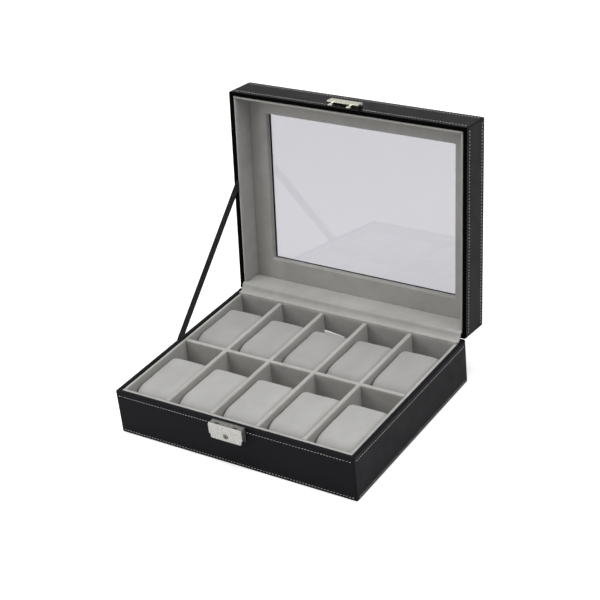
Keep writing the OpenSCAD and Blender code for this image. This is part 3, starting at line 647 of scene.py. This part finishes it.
def ribbon(material):
    """The stay: a woven ribbon from its pocket in the base, taut to its pocket in the lid."""
    low = np.array([RIBBON_X, AXIS[1] - RIBBON_REACH, BASE_H])
    closed_high = np.array([RIBBON_X, AXIS[1] - RIBBON_REACH, AXIS[2]])
    high = opened(closed_high)
    foot = low + [0, 0, -RIBBON_TAB]
    tab = opened(closed_high + [0, 0, RIBBON_TAB])
    corner = 0.004
    taut = (high - low) / np.linalg.norm(high - low)
    into = (tab - high) / RIBBON_TAB
    a, c = low - [0, 0, corner], low + taut * corner
    d, e = high - taut * corner, high + into * corner
    t = np.linspace(0, 1, 8)[:, None]
    path = np.concatenate([foot + (low - foot) * (1 - corner / RIBBON_TAB) * t, bent(a, low, c),
                           straight(c, d, 70), bent(d, high, e), straight(e, tab, 8)])
    points, uv = carried(path, (1.0, 0.0, 0.0), RIBBON_W / 2, RIBBON_T / 2, 20)
    faces = grid_faces(*points.shape[:2], False, True)
    uv = np.concatenate([uv.reshape(-1, 2), uv[0].mean(axis=0)[None], uv[-1].mean(axis=0)[None]])
    points, faces = capped(points, faces)
    made = piece("ribbon_band", points, faces, material,
                 replaced=["ribbon_stay"], uv=uv, angle=60, change=turn_outward)
    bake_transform(made)
    return made


def thickened(made, name, thickness):
    """Gives a sheet its thickness, half to each side."""
    thick = made.modifiers.new(name, "SOLIDIFY")
    thick.thickness, thick.offset = thickness, 0


def hinge_strip(material):
    """The cloth strip over the hinges: a path from the base's back card over its joint with the
    rim, where it dips into a crease, up past the knuckles and on to the lid's back card."""
    card = opened(np.array([0, CASE_D / 2 - RIM - LID_LINING, LID_Z + DROP]))
    start = np.array([0, INNER_BACK + 0.0004, LINING_TOP + 0.0004])
    joint = np.array([0, CASE_D / 2 - RIM - 0.0002, BASE_H + 0.0002])
    knots = np.stack([start, start + [0, 0.0022, 0.0004], joint, joint + [0, 0.0010, 0.0009],
                      joint + [0, 0.0018, 0.0019], card + [0, -0.0014, -0.0002],
                      card + [0, -0.0003, 0.0003], card + [0, 0.0009, 0.0005]])
    at = np.concatenate([[0], np.cumsum(np.linalg.norm(np.diff(knots, axis=0), axis=1))])
    t = np.linspace(0, 1, 60)
    y = smooth_through(at / at[-1], knots[:, 1], t)
    z = smooth_through(at / at[-1], knots[:, 2], t)
    half = CASE_W / 2 - RIM - 0.0003
    x = np.linspace(-half, half, 120)
    grid = np.stack(np.broadcast_arrays(x[None, :], y[:, None], z[:, None]), axis=-1)
    ripple = 0.00012 * wave(grid, 21, 0.02)
    grid = np.stack([grid[..., 0], grid[..., 1] - ripple, grid[..., 2] + ripple], axis=-1)
    length = np.concatenate([[0], np.cumsum(np.hypot(np.diff(y), np.diff(z)))])
    uv = np.stack(np.broadcast_arrays(x[None, :], length[:, None]), axis=-1)
    made = piece("hinge_strip_cloth", grid, grid_faces(*grid.shape[:2]), material,
                 replaced=["hinge_strip"], uv=uv, angle=60, change=turn_outward)
    thickened(made, "cloth", 0.0005)
    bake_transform(made)
    return made


def smooth_through(at, values, t):
    """A curve through the values: cubic pieces whose slopes are those of the neighbours."""
    slope = np.gradient(values, at)
    k = np.clip(np.searchsorted(at, t, side="right") - 1, 0, len(at) - 2)
    h = at[k + 1] - at[k]
    s = (t - at[k]) / h
    return ((1 + 2 * s) * (1 - s) ** 2 * values[k] + s * (1 - s) ** 2 * h * slope[k]
            + s * s * (3 - 2 * s) * values[k + 1] + s * s * (s - 1) * h * slope[k + 1])


def label(material):
    """The blank tag at the end of one pillow: a strip of tape, bent a little along its width
    and lower at its right end."""
    low, high = (np.array(v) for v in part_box("pillow_label"))
    u, v = np.meshgrid(np.linspace(0, 1, 15), np.linspace(0, 1, 11), indexing="xy")
    x = low[0] + 0.0032 + u * (high[0] - low[0] - 0.0034)
    top = high[2] - 0.0001 - 0.0026 * u ** 1.3
    z = low[2] + v * (top - low[2])
    y = (low[1] + high[1]) / 2 + 0.00008 * np.sin(3 * u + 2 * v)
    points = np.stack([x, y, z], axis=-1)
    made = piece("tag", points, grid_faces(*u.shape), material, "pillow_back_3",
                 ["pillow_label"], angle=60, change=turn_outward)
    thickened(made, "tape", 0.00018)
    return made


# ---- Metal and plain nodes ----

def merge_flat(held):
    """A change that joins doubled corners and the faces that lie flat to each other."""
    bmesh.ops.remove_doubles(held, verts=held.verts, dist=2e-6)
    bmesh.ops.dissolve_limit(held, angle_limit=math.radians(1), verts=held.verts,
                             edges=held.edges)


def dressed(node, material, width, body):
    """A metal piece: a copy of a CAD node with its sharp edges rounded to the given width."""
    mesh = frame["nodes"][node].data.copy()
    mesh.transform(frame["nodes"][node].matrix_world)
    edited(mesh, merge_flat)
    mesh.shade_smooth()
    mesh.materials.clear()
    mesh.materials.append(material)
    made = add_object(node + "_finished", mesh)
    soft = made.modifiers.new("edges", "BEVEL")
    soft.width, soft.segments, soft.limit_method = width, 3, "ANGLE"
    soft.angle_limit = math.radians(35)
    soft.harden_normals = True
    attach(made, body)
    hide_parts(node)
    return made


def paint(node, material):
    """Gives a CAD node a material."""
    mesh = frame["nodes"][node].data
    mesh.materials.clear()
    mesh.materials.append(material)


# ---- Materials ----

def put(socket, value):
    """Sets an input to a value, or links it to an output."""
    if isinstance(value, bpy.types.NodeSocket):
        socket.id_data.links.new(value, socket)
    else:
        socket.default_value = value


def feed(node, inputs):
    """Sets or links a node's inputs."""
    for key, value in inputs.items():
        put(node.inputs[key], value)


class Net:
    """A node tree with short calls to add and join nodes."""

    def __init__(self, tree):
        self.tree = tree

    def add(self, kind, inputs=None, **settings):
        """A node with its settings and inputs: a value is set, a socket is linked."""
        made = self.tree.nodes.new(kind)
        for key, value in settings.items():
            setattr(made, key, value)
        feed(made, inputs or {})
        return made

    def link(self, start, end):
        """Joins an output to an input."""
        self.tree.links.new(start, end)

    def noise(self, place, scale, detail, **more):
        """A noise node's outputs."""
        return self.add("ShaderNodeTexNoise", {"Vector": place, "Scale": scale,
                                               "Detail": detail, **more}).outputs

    def math(self, operation, a, b=0.5):
        """The result of a sum on two values."""
        return self.add("ShaderNodeMath", {0: a, 1: b}, operation=operation).outputs[0]

    def vector(self, operation, a, b):
        """The outputs of a sum on two vectors."""
        return self.add("ShaderNodeVectorMath", {0: a, 1: b}, operation=operation).outputs

    def scaled(self, place, scale):
        """A place stretched along its axes."""
        return self.add("ShaderNodeMapping", {"Vector": place, "Scale": scale}).outputs[0]

    def ramp(self, value, low, high, to_low=0.0, to_high=1.0):
        """A value carried from one range to another and held at its ends."""
        return self.add("ShaderNodeMapRange", {0: value, 1: low, 2: high, 3: to_low,
                                               4: to_high}).outputs[0]

    def mix(self, share, a, b):
        """A colour between two."""
        made = self.add("ShaderNodeMix", data_type="RGBA")
        for key, value in (("Factor", share), ("A", a), ("B", b)):
            put([s for s in made.inputs if s.name == key and s.enabled][0], value)
        return [s for s in made.outputs if s.enabled][0]


def group(name, knob, value, outputs):
    """A new shader node group that takes a place and one number, and gives numbers. Returns the
    tree, its net and both ends."""
    tree = bpy.data.node_groups.new(name, "ShaderNodeTree")
    tree.interface.new_socket("Place", in_out="INPUT", socket_type="NodeSocketVector")
    made = tree.interface.new_socket(knob, in_out="INPUT", socket_type="NodeSocketFloat")
    made.default_value = value
    for title in outputs:
        tree.interface.new_socket(title, in_out="OUTPUT", socket_type="NodeSocketFloat")
    net = Net(tree)
    return tree, net, net.add("NodeGroupInput").outputs, net.add("NodeGroupOutput").inputs


def grain_group():
    """Embossed leather grain: cells whose creases lie low, over a fine uneven skin."""
    tree, net, given, out = group("leather_grain", "Cell", 900.0, ("Height", "Crease", "Tone"))
    warp = net.noise(given["Place"], 420.0, 2.0)
    moved = net.vector("MULTIPLY", warp["Color"], (0.0009, 0.0009, 0.0009))[0]
    place = net.vector("ADD", given["Place"], moved)[0]
    cells = net.add("ShaderNodeTexVoronoi", {"Vector": place, "Scale": given["Cell"]},
                    feature="DISTANCE_TO_EDGE")
    crease = net.ramp(cells.outputs["Distance"], 0.0, 0.16)
    fine = net.noise(given["Place"], 2600.0, 3.0)
    dents = net.noise(given["Place"], 55.0, 2.0)
    height = net.math("ADD", net.math("MULTIPLY", crease, 0.7),
                      net.math("MULTIPLY", fine["Fac"], 0.35))
    net.link(height, out["Height"])
    net.link(crease, out["Crease"])
    net.link(dents["Fac"], out["Tone"])
    return tree


def nap_group():
    """Short pile: fine fibres, streaks where the pile leans, and broad brushed patches."""
    tree, net, given, out = group("velour_nap", "Streak", 90.0, ("Height", "Fibre", "Patch"))
    fibre = net.noise(given["Place"], 2400.0, 4.0, Roughness=0.7)
    streak = net.noise(net.scaled(given["Place"], (1.0, 0.35, 1.0)), given["Streak"], 3.0,
                       Distortion=0.6)
    patch = net.noise(given["Place"], 28.0, 2.0, Distortion=0.8)
    height = net.math("ADD", net.math("MULTIPLY", fibre["Fac"], 0.75),
                      net.math("MULTIPLY", streak["Fac"], 0.25))
    both = net.math("ADD", net.math("MULTIPLY", streak["Fac"], 0.4),
                    net.math("MULTIPLY", patch["Fac"], 0.6))
    net.link(height, out["Height"])
    net.link(fibre["Fac"], out["Fibre"])
    net.link(both, out["Patch"])
    return tree


def start_material(name, given="Object"):
    """A new material: its net, its shader and the object's own coordinates or its map."""
    made = bpy.data.materials.new(name)
    made.use_nodes = True
    net = Net(made.node_tree)
    shader = made.node_tree.nodes["Principled BSDF"]
    return made, net, shader, net.add("ShaderNodeTexCoord").outputs[given]


def grouped(net, tree, **inputs):
    """A shared group placed in a material with its own values."""
    return net.add("ShaderNodeGroup", inputs, node_tree=tree).outputs


def bump(net, shader, height, strength, distance):
    """Feeds a height to the shader's normal."""
    made = net.add("ShaderNodeBump", {"Height": height, "Strength": strength,
                                      "Distance": distance})
    net.link(made.outputs[0], shader.inputs["Normal"])


def leather_material(name, colour, lighter):
    """Grained artificial leather: dark creases, a soft satin face and faint broad dents."""
    made, net, shader, place = start_material(name)
    skin = grouped(net, GRAIN, Place=place, Cell=1050.0)
    tone = net.math("MULTIPLY", skin["Crease"], net.ramp(skin["Tone"], 0.3, 0.7, 0.55, 1.0))
    # the rim attribute paints the lid's turned rim near black and less shiny, as painted shade
    rim = net.add("ShaderNodeAttribute", attribute_name="rim").outputs["Fac"]
    face = net.mix(tone, colour, lighter)
    feed(shader, {"Base Color": net.mix(rim, face, (0.0012, 0.0012, 0.0012, 1)),
                  "Roughness": net.ramp(skin["Tone"], 0.3, 0.7, 0.37, 0.48),
                  "Specular IOR Level": net.ramp(rim, 0.0, 1.0, 0.08, 0.015)})
    bump(net, shader, skin["Height"], 0.32, 0.00012)
    return made


def velour_material(name, dark, light, streak=120.0):
    """Short-pile velour: brushed patches between two greys, fine fibres and a soft sheen."""
    made, net, shader, place = start_material(name)
    pile = grouped(net, NAP, Place=place, Streak=streak)
    share = net.math("ADD", net.ramp(pile["Patch"], 0.3, 0.7, 0.0, 0.75),
                     net.ramp(pile["Fibre"], 0.3, 0.7, 0.0, 0.25))
    feed(shader, {"Base Color": net.mix(share, dark, light), "Roughness": 0.95,
                  "Specular IOR Level": 0.1, "Sheen Weight": 0.12, "Sheen Roughness": 0.4})
    bump(net, shader, pile["Height"], 0.5, 0.00025)
    return made


def nickel_material(name, colour, roughness, metallic=1.0, inside=None):
    """Bright nickel plate: faint rolling marks and small dull spots. The inside, given as a
    direction, two distances along it and a colour, is painted dark: painted shade."""
    made, net, shader, place = start_material(name)
    marks = net.noise(net.scaled(place, (0.12, 1.0, 1.0)), 3000.0, 2.0)
    spots = net.noise(place, 260.0, 3.0)
    rough = net.math("ADD", net.ramp(marks["Fac"], 0.35, 0.65, roughness - 0.04,
                                     roughness + 0.04),
                     net.ramp(spots["Fac"], 0.5, 0.8, 0.0, 0.05))
    net.link(rough, shader.inputs["Roughness"])
    shade = net.ramp(spots["Fac"], 0.3, 0.75, 1.0, 0.0)
    dull = tuple(c * 0.92 for c in colour[:3]) + (1.0,)
    plate = net.mix(shade, dull, colour)
    if inside:
        # past the inside's distances the plate is painted dark: painted shade
        way, dark, bright, shade_colour = inside
        reach = net.vector("DOT_PRODUCT", place, way)["Value"]
        plate = net.mix(net.ramp(reach, dark, bright), shade_colour, plate)
    feed(shader, {"Base Color": plate, "Metallic": metallic})
    bump(net, shader, marks["Fac"], 0.04, 0.00003)
    return made


def board_material(name, dark, light):
    """Fibreboard: speckled chips of wood fibre."""
    made, net, shader, place = start_material(name)
    chips = net.add("ShaderNodeTexVoronoi", {"Vector": place, "Scale": 900.0})
    fibre = net.noise(place, 400.0, 4.0)
    share = net.math("MULTIPLY", chips.outputs["Distance"], fibre["Fac"])
    feed(shader, {"Base Color": net.mix(share, dark, light), "Roughness": 0.9})
    bump(net, shader, fibre["Fac"], 0.3, 0.0002)
    return made


def felt_material():
    """Thin black felt: matted fibres."""
    made, net, shader, place = start_material("black_felt")
    mat = net.noise(place, 1500.0, 5.0, Roughness=0.75)
    tone = net.mix(mat["Fac"], (0.010, 0.010, 0.011, 1), (0.035, 0.035, 0.038, 1))
    feed(shader, {"Base Color": tone, "Roughness": 1.0, "Sheen Weight": 0.15})
    bump(net, shader, mat["Fac"], 0.6, 0.0003)
    return made


def weave_material(name, dark, light, pitch, roughness):
    """Plain weave on the piece's own map: warp and weft waves that cross."""
    made, net, shader, place = start_material(name, "UV")
    split = net.add("ShaderNodeSeparateXYZ", {"Vector": place})
    turn = 2 * math.pi / pitch
    across = net.math("SINE", net.math("MULTIPLY", split.outputs["X"], turn))
    along = net.math("SINE", net.math("MULTIPLY", split.outputs["Y"], turn))
    check = net.ramp(net.math("MULTIPLY", across, along), -1.0, 1.0)
    noise = net.noise(place, 900.0, 2.0)
    share = net.math("MULTIPLY", check, net.ramp(noise["Fac"], 0.3, 0.7, 0.6, 1.0))
    feed(shader, {"Base Color": net.mix(share, dark, light), "Roughness": roughness,
                  "Specular IOR Level": 0.3})
    bump(net, shader, check, 0.5, 0.00008)
    return made


def thread_material():
    """Light thread: two plies twisted along its length."""
    made, net, shader, place = start_material("thread")
    twist = net.add("ShaderNodeTexWave", {"Vector": place, "Scale": 1400.0,
                                          "Distortion": 1.0}, bands_direction="DIAGONAL")
    tone = net.mix(twist.outputs["Fac"], (0.42, 0.42, 0.40, 1), (0.72, 0.71, 0.68, 1))
    feed(shader, {"Base Color": tone, "Roughness": 0.75})
    return made


def glass_material():
    """Clear float glass, faintly tinted, with a little haze of dust."""
    made, net, shader, place = start_material("window_glass")
    smear = net.noise(place, 14.0, 3.0, Distortion=1.5)
    feed(shader, {"Base Color": (0.445, 0.441, 0.469, 1), "Transmission Weight": 1.0,
                  "IOR": 1.45, "Roughness": net.ramp(smear["Fac"], 0.45, 0.75, 0.0, 0.04)})
    return made


GRAIN, NAP = grain_group(), nap_group()
LEATHER_SKIN = leather_material("black_leather", (0.0032, 0.0030, 0.0044, 1),
                                (0.0080, 0.0076, 0.0106, 1))
LINING_CLOTH = velour_material("grey_velour", (0.330, 0.325, 0.312, 1),
                               (0.420, 0.414, 0.398, 1), 90.0)
# the back row's pillows take a darker copy of the same velour: painted shade
PILLOW_CLOTH = {"front": velour_material("pillow_velour", (0.340, 0.337, 0.329, 1),
                                         (0.408, 0.404, 0.395, 1), 60.0),
                "back": velour_material("pillow_velour_painted_shade", (0.303, 0.296, 0.290, 1),
                                        (0.362, 0.353, 0.347, 1), 60.0)}
# the lid's back card takes a lighter copy of the lining velour: painted light
LID_FLOOR_CLOTH = velour_material("velour_painted_light", (0.385, 0.379, 0.364, 1),
                                  (0.475, 0.468, 0.452, 1))
# near-black steel; on the bolt and guide posts inside the lock it is painted shade
DARK_STEEL_AND_SHADE = nickel_material("dark_steel_and_painted_shade", (0.07, 0.07, 0.075, 1), 0.4)
BARREL_METAL = nickel_material("worn_barrel_brass", (0.26, 0.24, 0.20, 1), 0.38)
WALL_WAY = (0.0, -math.cos(OPEN), math.sin(OPEN))
WALL_REACH = float(np.dot(WALL_WAY, opened([0, -CASE_D / 2, LID_Z])))
# the strike's back leg and the web near the wall are painted near black: painted shade
STRIKE_METAL = nickel_material("strike_nickel", (0.76, 0.75, 0.68, 1), 0.26, metallic=0.9,
                               inside=(WALL_WAY, WALL_REACH + 0.0030, WALL_REACH + 0.0038,
                                       (0.03, 0.03, 0.028, 1)))
# the cover's front is plated bright and its folded sides are painted darker, as painted shade; the
# back plate is painted dark, as painted shade, except on the flange beside the cover
COVER_LOW, COVER_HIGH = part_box("lock_cover")
FRONT = -COVER_LOW[1]
COVER_METAL = nickel_material("cover_nickel", (0.60, 0.595, 0.565, 1), 0.24, metallic=0.6,
                              inside=((0.0, -1.0, 0.0), FRONT - 0.0013, FRONT - 0.0009,
                                      (0.22, 0.215, 0.205, 1)))
FLANGE_METAL = nickel_material("flange_nickel", (0.66, 0.655, 0.63, 1), 0.24, metallic=0.6,
                               inside=((1.0, 0.0, 0.0), COVER_HIGH[0] - 0.0004,
                                       COVER_HIGH[0], (0.03, 0.03, 0.032, 1)))
STEEL = nickel_material("hinge_steel", (0.60, 0.58, 0.54, 1), 0.34)
FIBREBOARD = board_material("fibreboard", (0.30, 0.21, 0.13, 1), (0.47, 0.36, 0.25, 1))
BLACK_BOARD = board_material("blackened_board", (0.008, 0.008, 0.009, 1),
                             (0.020, 0.020, 0.022, 1))
FELT_CLOTH = felt_material()
RIBBON_WEAVE = weave_material("black_ribbon", (0.006, 0.006, 0.007, 1),
                              (0.018, 0.018, 0.020, 1), 0.0006, 0.55)
STRIP_CLOTH = velour_material("strip_velour", (0.340, 0.336, 0.322, 1),
                              (0.430, 0.425, 0.410, 1))
TAPE = weave_material("white_tape", (0.70, 0.70, 0.69, 1), (0.86, 0.86, 0.85, 1), 0.0005, 0.8)
THREAD = thread_material()
GLASS = glass_material()

# ---- The pieces ----

base_shell(LEATHER_SKIN)
lid_shell(LEATHER_SKIN)
bezel(LINING_CLOTH)
for number, height in enumerate(STITCH_BASE, 1):
    seam(f"base_seam_{number}", height, 60 + number, THREAD, "base")
for number, height in enumerate(STITCH_LID, 1):
    seam(f"lid_seam_{number}", height, 70 + number, THREAD, "lid", lid=True)

# the lined cards: the left ones leave room for the ribbon, and the lid's are drawn closed
CARD_FOOT, RIBBON_ROOM, LID_LOW = 0.0039, 0.0006, LID_Z + DROP
outer_x, outer_y = CASE_W / 2 - RIM, CASE_D / 2 - RIM
lid_y = outer_y - LID_LINING
for side, low, high, r, seed in (
        ("front", (-outer_x, -outer_y), (outer_x, INNER_FRONT), 0.0011, 31),
        ("back", (-outer_x, INNER_BACK), (outer_x, outer_y), 0.0013, 32),
        ("left", (-outer_x + RIBBON_ROOM, INNER_FRONT), (-INNER_X, INNER_BACK), 0.0009, 33),
        ("right", (INNER_X, INNER_FRONT), (outer_x, INNER_BACK), 0.0011, 34)):
    soft_board(f"base_{side}_card", low + (CARD_FOOT,), high + (LINING_TOP,), r, LINING_CLOTH,
               "base", f"base_{side}_lining", seed=seed)
for side, low, high, r, cloth, seed in (
        ("front", (-outer_x, -outer_y), (outer_x, -lid_y), 0.0011, LINING_CLOTH, 35),
        ("back", (-outer_x, lid_y), (outer_x, outer_y), 0.0011, LID_FLOOR_CLOTH, 36),
        ("left", (-outer_x + RIBBON_ROOM, -lid_y), (-LID_INNER_X, lid_y), 0.0009,
         LINING_CLOTH, 37),
        ("right", (LID_INNER_X, -lid_y), (outer_x, lid_y), 0.0011, LINING_CLOTH, 38)):
    soft_board(f"lid_{side}_card", low + (LID_LOW,), high + (BEZEL_Z,), r, cloth, "lid",
               f"lid_{side}_lining", lid=True, seed=seed)

# the dividers, with the long one passing under the cross ones
soft_board("long_divider_card", (-INNER_X, DIVIDER_Y - DIVIDER / 2, FLOOR_Z),
           (INNER_X, DIVIDER_Y + DIVIDER / 2, LINING_TOP), 0.0012, LINING_CLOTH, "base",
           "long_divider", seed=39, uneven=0.00018)
for i in range(1, COLUMNS):
    x = column_x(i) + (PLACE_W + DIVIDER) / 2
    soft_board(f"cross_divider_card_{i}", (x - DIVIDER / 2, INNER_FRONT, FLOOR_Z),
               (x + DIVIDER / 2, INNER_BACK, LINING_TOP), 0.0012, LINING_CLOTH, "base",
               f"cross_divider_{i}", seed=40 + i, uneven=0.00018)

row_front = {"front": INNER_FRONT, "back": DIVIDER_Y + DIVIDER / 2}
rises = {"front": (0.0004, 0.0006, 0.0013, 0.0018, 0.0013),
         "back": (0.0013, 0.0004, -0.0005, 0.0004, 0.0012)}
for row, y in row_front.items():
    for i in range(1, COLUMNS + 1):
        node = f"pillow_{row}_{i}"
        stuffed(f"cushion_{row}_{i}",
                (column_x(i) - PILLOW_W / 2, y + PILLOW_GAP, FLOOR_Z),
                (column_x(i) + PILLOW_W / 2, y + PILLOW_GAP + PILLOW_L, FLOOR_Z + PILLOW_H),
                rises[row][i - 1], 100 + i + (10 if row == "back" else 0), PILLOW_CLOTH[row], node,
                [node])

label(TAPE)
ribbon(RIBBON_WEAVE)
hinge_strip(STRIP_CLOTH)

for node, metal, width, body in (("lock_cover", COVER_METAL, 0.00034, "base"),
                                 ("lock_barrel", BARREL_METAL, 0.00022, "barrel"),
                                 ("strike", STRIKE_METAL, 0.00022, "lid"),
                                 ("hinge_base_leaves", STEEL, 0.00012, "base"),
                                 ("hinge_lid_leaves", STEEL, 0.00012, "lid")):
    dressed(node, metal, width, body)
SIDES = ("front", "back", "left", "right")
BOARDS = [f"{part}_{side}_board" for part in ("base", "lid") for side in SIDES]
for material, nodes in (
        (FLANGE_METAL, ["lock_back_plate"]),
        (DARK_STEEL_AND_SHADE, ["lock_guide_posts", "lock_nails", "lock_bolt", "strike_nails"]),
        (STEEL, ["hinge_pins", "hinge_base_rivets", "hinge_lid_rivets"]),
        (FIBREBOARD, BOARDS + ["base_bottom_board"]), (BLACK_BOARD, ["lid_top_frame"]),
        (FELT_CLOTH, ["underside_felt"]), (LINING_CLOTH, ["base_floor_lining"]),
        (GLASS, ["lid_glass"])):
    for node in nodes:
        paint(node, material)

# ---- Camera, floor and light ----

view = bpy.data.cameras.new("view")
view.lens, view.sensor_width = 92.41, 36.0
camera = add_object("view", view)
right = (0.84161, 0.53145, -0.09620)
down = (0.19407, -0.46381, -0.86442)
ahead = (-0.50402, 0.70883, -0.49349)
camera.matrix_world = Matrix(((right[0], -down[0], -ahead[0], 0.6988),
                              (right[1], -down[1], -ahead[1], -0.9583),
                              (right[2], -down[2], -ahead[2], 0.7843), (0, 0, 0, 1)))
bpy.context.scene.camera = camera
bpy.context.scene.view_settings.view_transform = "Standard"


def light_path(net):
    """The light path's outputs, and whether a ray comes from the camera or through glass."""
    path = net.add("ShaderNodeLightPath").outputs
    return path, net.math("MAXIMUM", path["Is Camera Ray"], path["Is Transmission Ray"])


def floor():
    """A wide pale floor that shows as white and keeps the box's shadow."""
    size = 6.0
    mesh = bpy.data.meshes.new("floor")
    mesh.from_pydata([(-size, -size, 0), (size, -size, 0), (size, size, 0), (-size, size, 0)],
                     [], [(0, 1, 2, 3)])
    made = bpy.data.materials.new("pale_floor")
    made.use_nodes = True
    net = Net(made.node_tree)
    shader = made.node_tree.nodes["Principled BSDF"]
    feed(shader, {"Base Color": (0.80, 0.80, 0.80, 1), "Roughness": 1.0,
                  "Specular IOR Level": 0.0})
    seen = light_path(net)[1]
    glow = net.add("ShaderNodeEmission", {"Color": (1, 1, 1, 1), "Strength": 0.55})
    both = net.add("ShaderNodeAddShader", {0: shader.outputs[0], 1: glow.outputs[0]})
    pick = net.add("ShaderNodeMixShader", {0: seen, 1: shader.outputs[0], 2: both.outputs[0]})
    out = made.node_tree.nodes["Material Output"]
    net.link(pick.outputs[0], out.inputs["Surface"])
    mesh.materials.append(made)
    add_object("floor", mesh)


def world():
    """A plain studio: white where the camera or the glass sees it, softer as a light."""
    made = bpy.data.worlds.new("studio")
    made.use_nodes = True
    bpy.context.scene.world = made
    net = Net(made.node_tree)
    made.node_tree.nodes.clear()
    path, seen = light_path(net)
    plain = net.add("ShaderNodeBackground", {"Color": (1, 1, 1, 1), "Strength": 0.12})
    gloss = net.add("ShaderNodeBackground", {"Color": (1, 1, 0.92, 1), "Strength": 0.62})
    white = net.add("ShaderNodeBackground", {"Color": (1, 1, 1, 1), "Strength": 1.0})
    shiny = net.add("ShaderNodeMixShader", {0: path["Is Glossy Ray"],
                                            1: plain.outputs[0], 2: gloss.outputs[0]})
    last = net.add("ShaderNodeMixShader", {0: seen, 1: shiny.outputs[0], 2: white.outputs[0]})
    out = net.add("ShaderNodeOutputWorld")
    net.link(last.outputs[0], out.inputs["Surface"])


def softbox(name, place, target, size, power):
    """A square lamp at a place, turned to a target."""
    lamp = bpy.data.lights.new(name, "AREA")
    lamp.shape, lamp.size, lamp.energy = "SQUARE", size, power
    made = add_object(name, lamp)
    back = np.array(place, float) - np.array(target, float)
    back /= np.linalg.norm(back)
    side = np.cross((0, 0, 1), back)
    side /= np.linalg.norm(side)
    up = np.cross(back, side)
    made.matrix_world = Matrix(((side[0], up[0], back[0], place[0]),
                                (side[1], up[1], back[1], place[1]),
                                (side[2], up[2], back[2], place[2]), (0, 0, 0, 1)))


floor()
world()
MIDDLE = (0, 0.03, 0.06)
softbox("overhead", (0.0, 0.14, 2.2), MIDDLE, 1.6, 36.6)
softbox("front_left", (-1.1, -1.3, 1.2), MIDDLE, 1.2, 13.7)
softbox("right", (1.7, 0.0, 1.3), MIDDLE, 1.2, 15.3)
softbox("front", (0.1, -1.3, 1.9), MIDDLE, 1.4, 5.2)
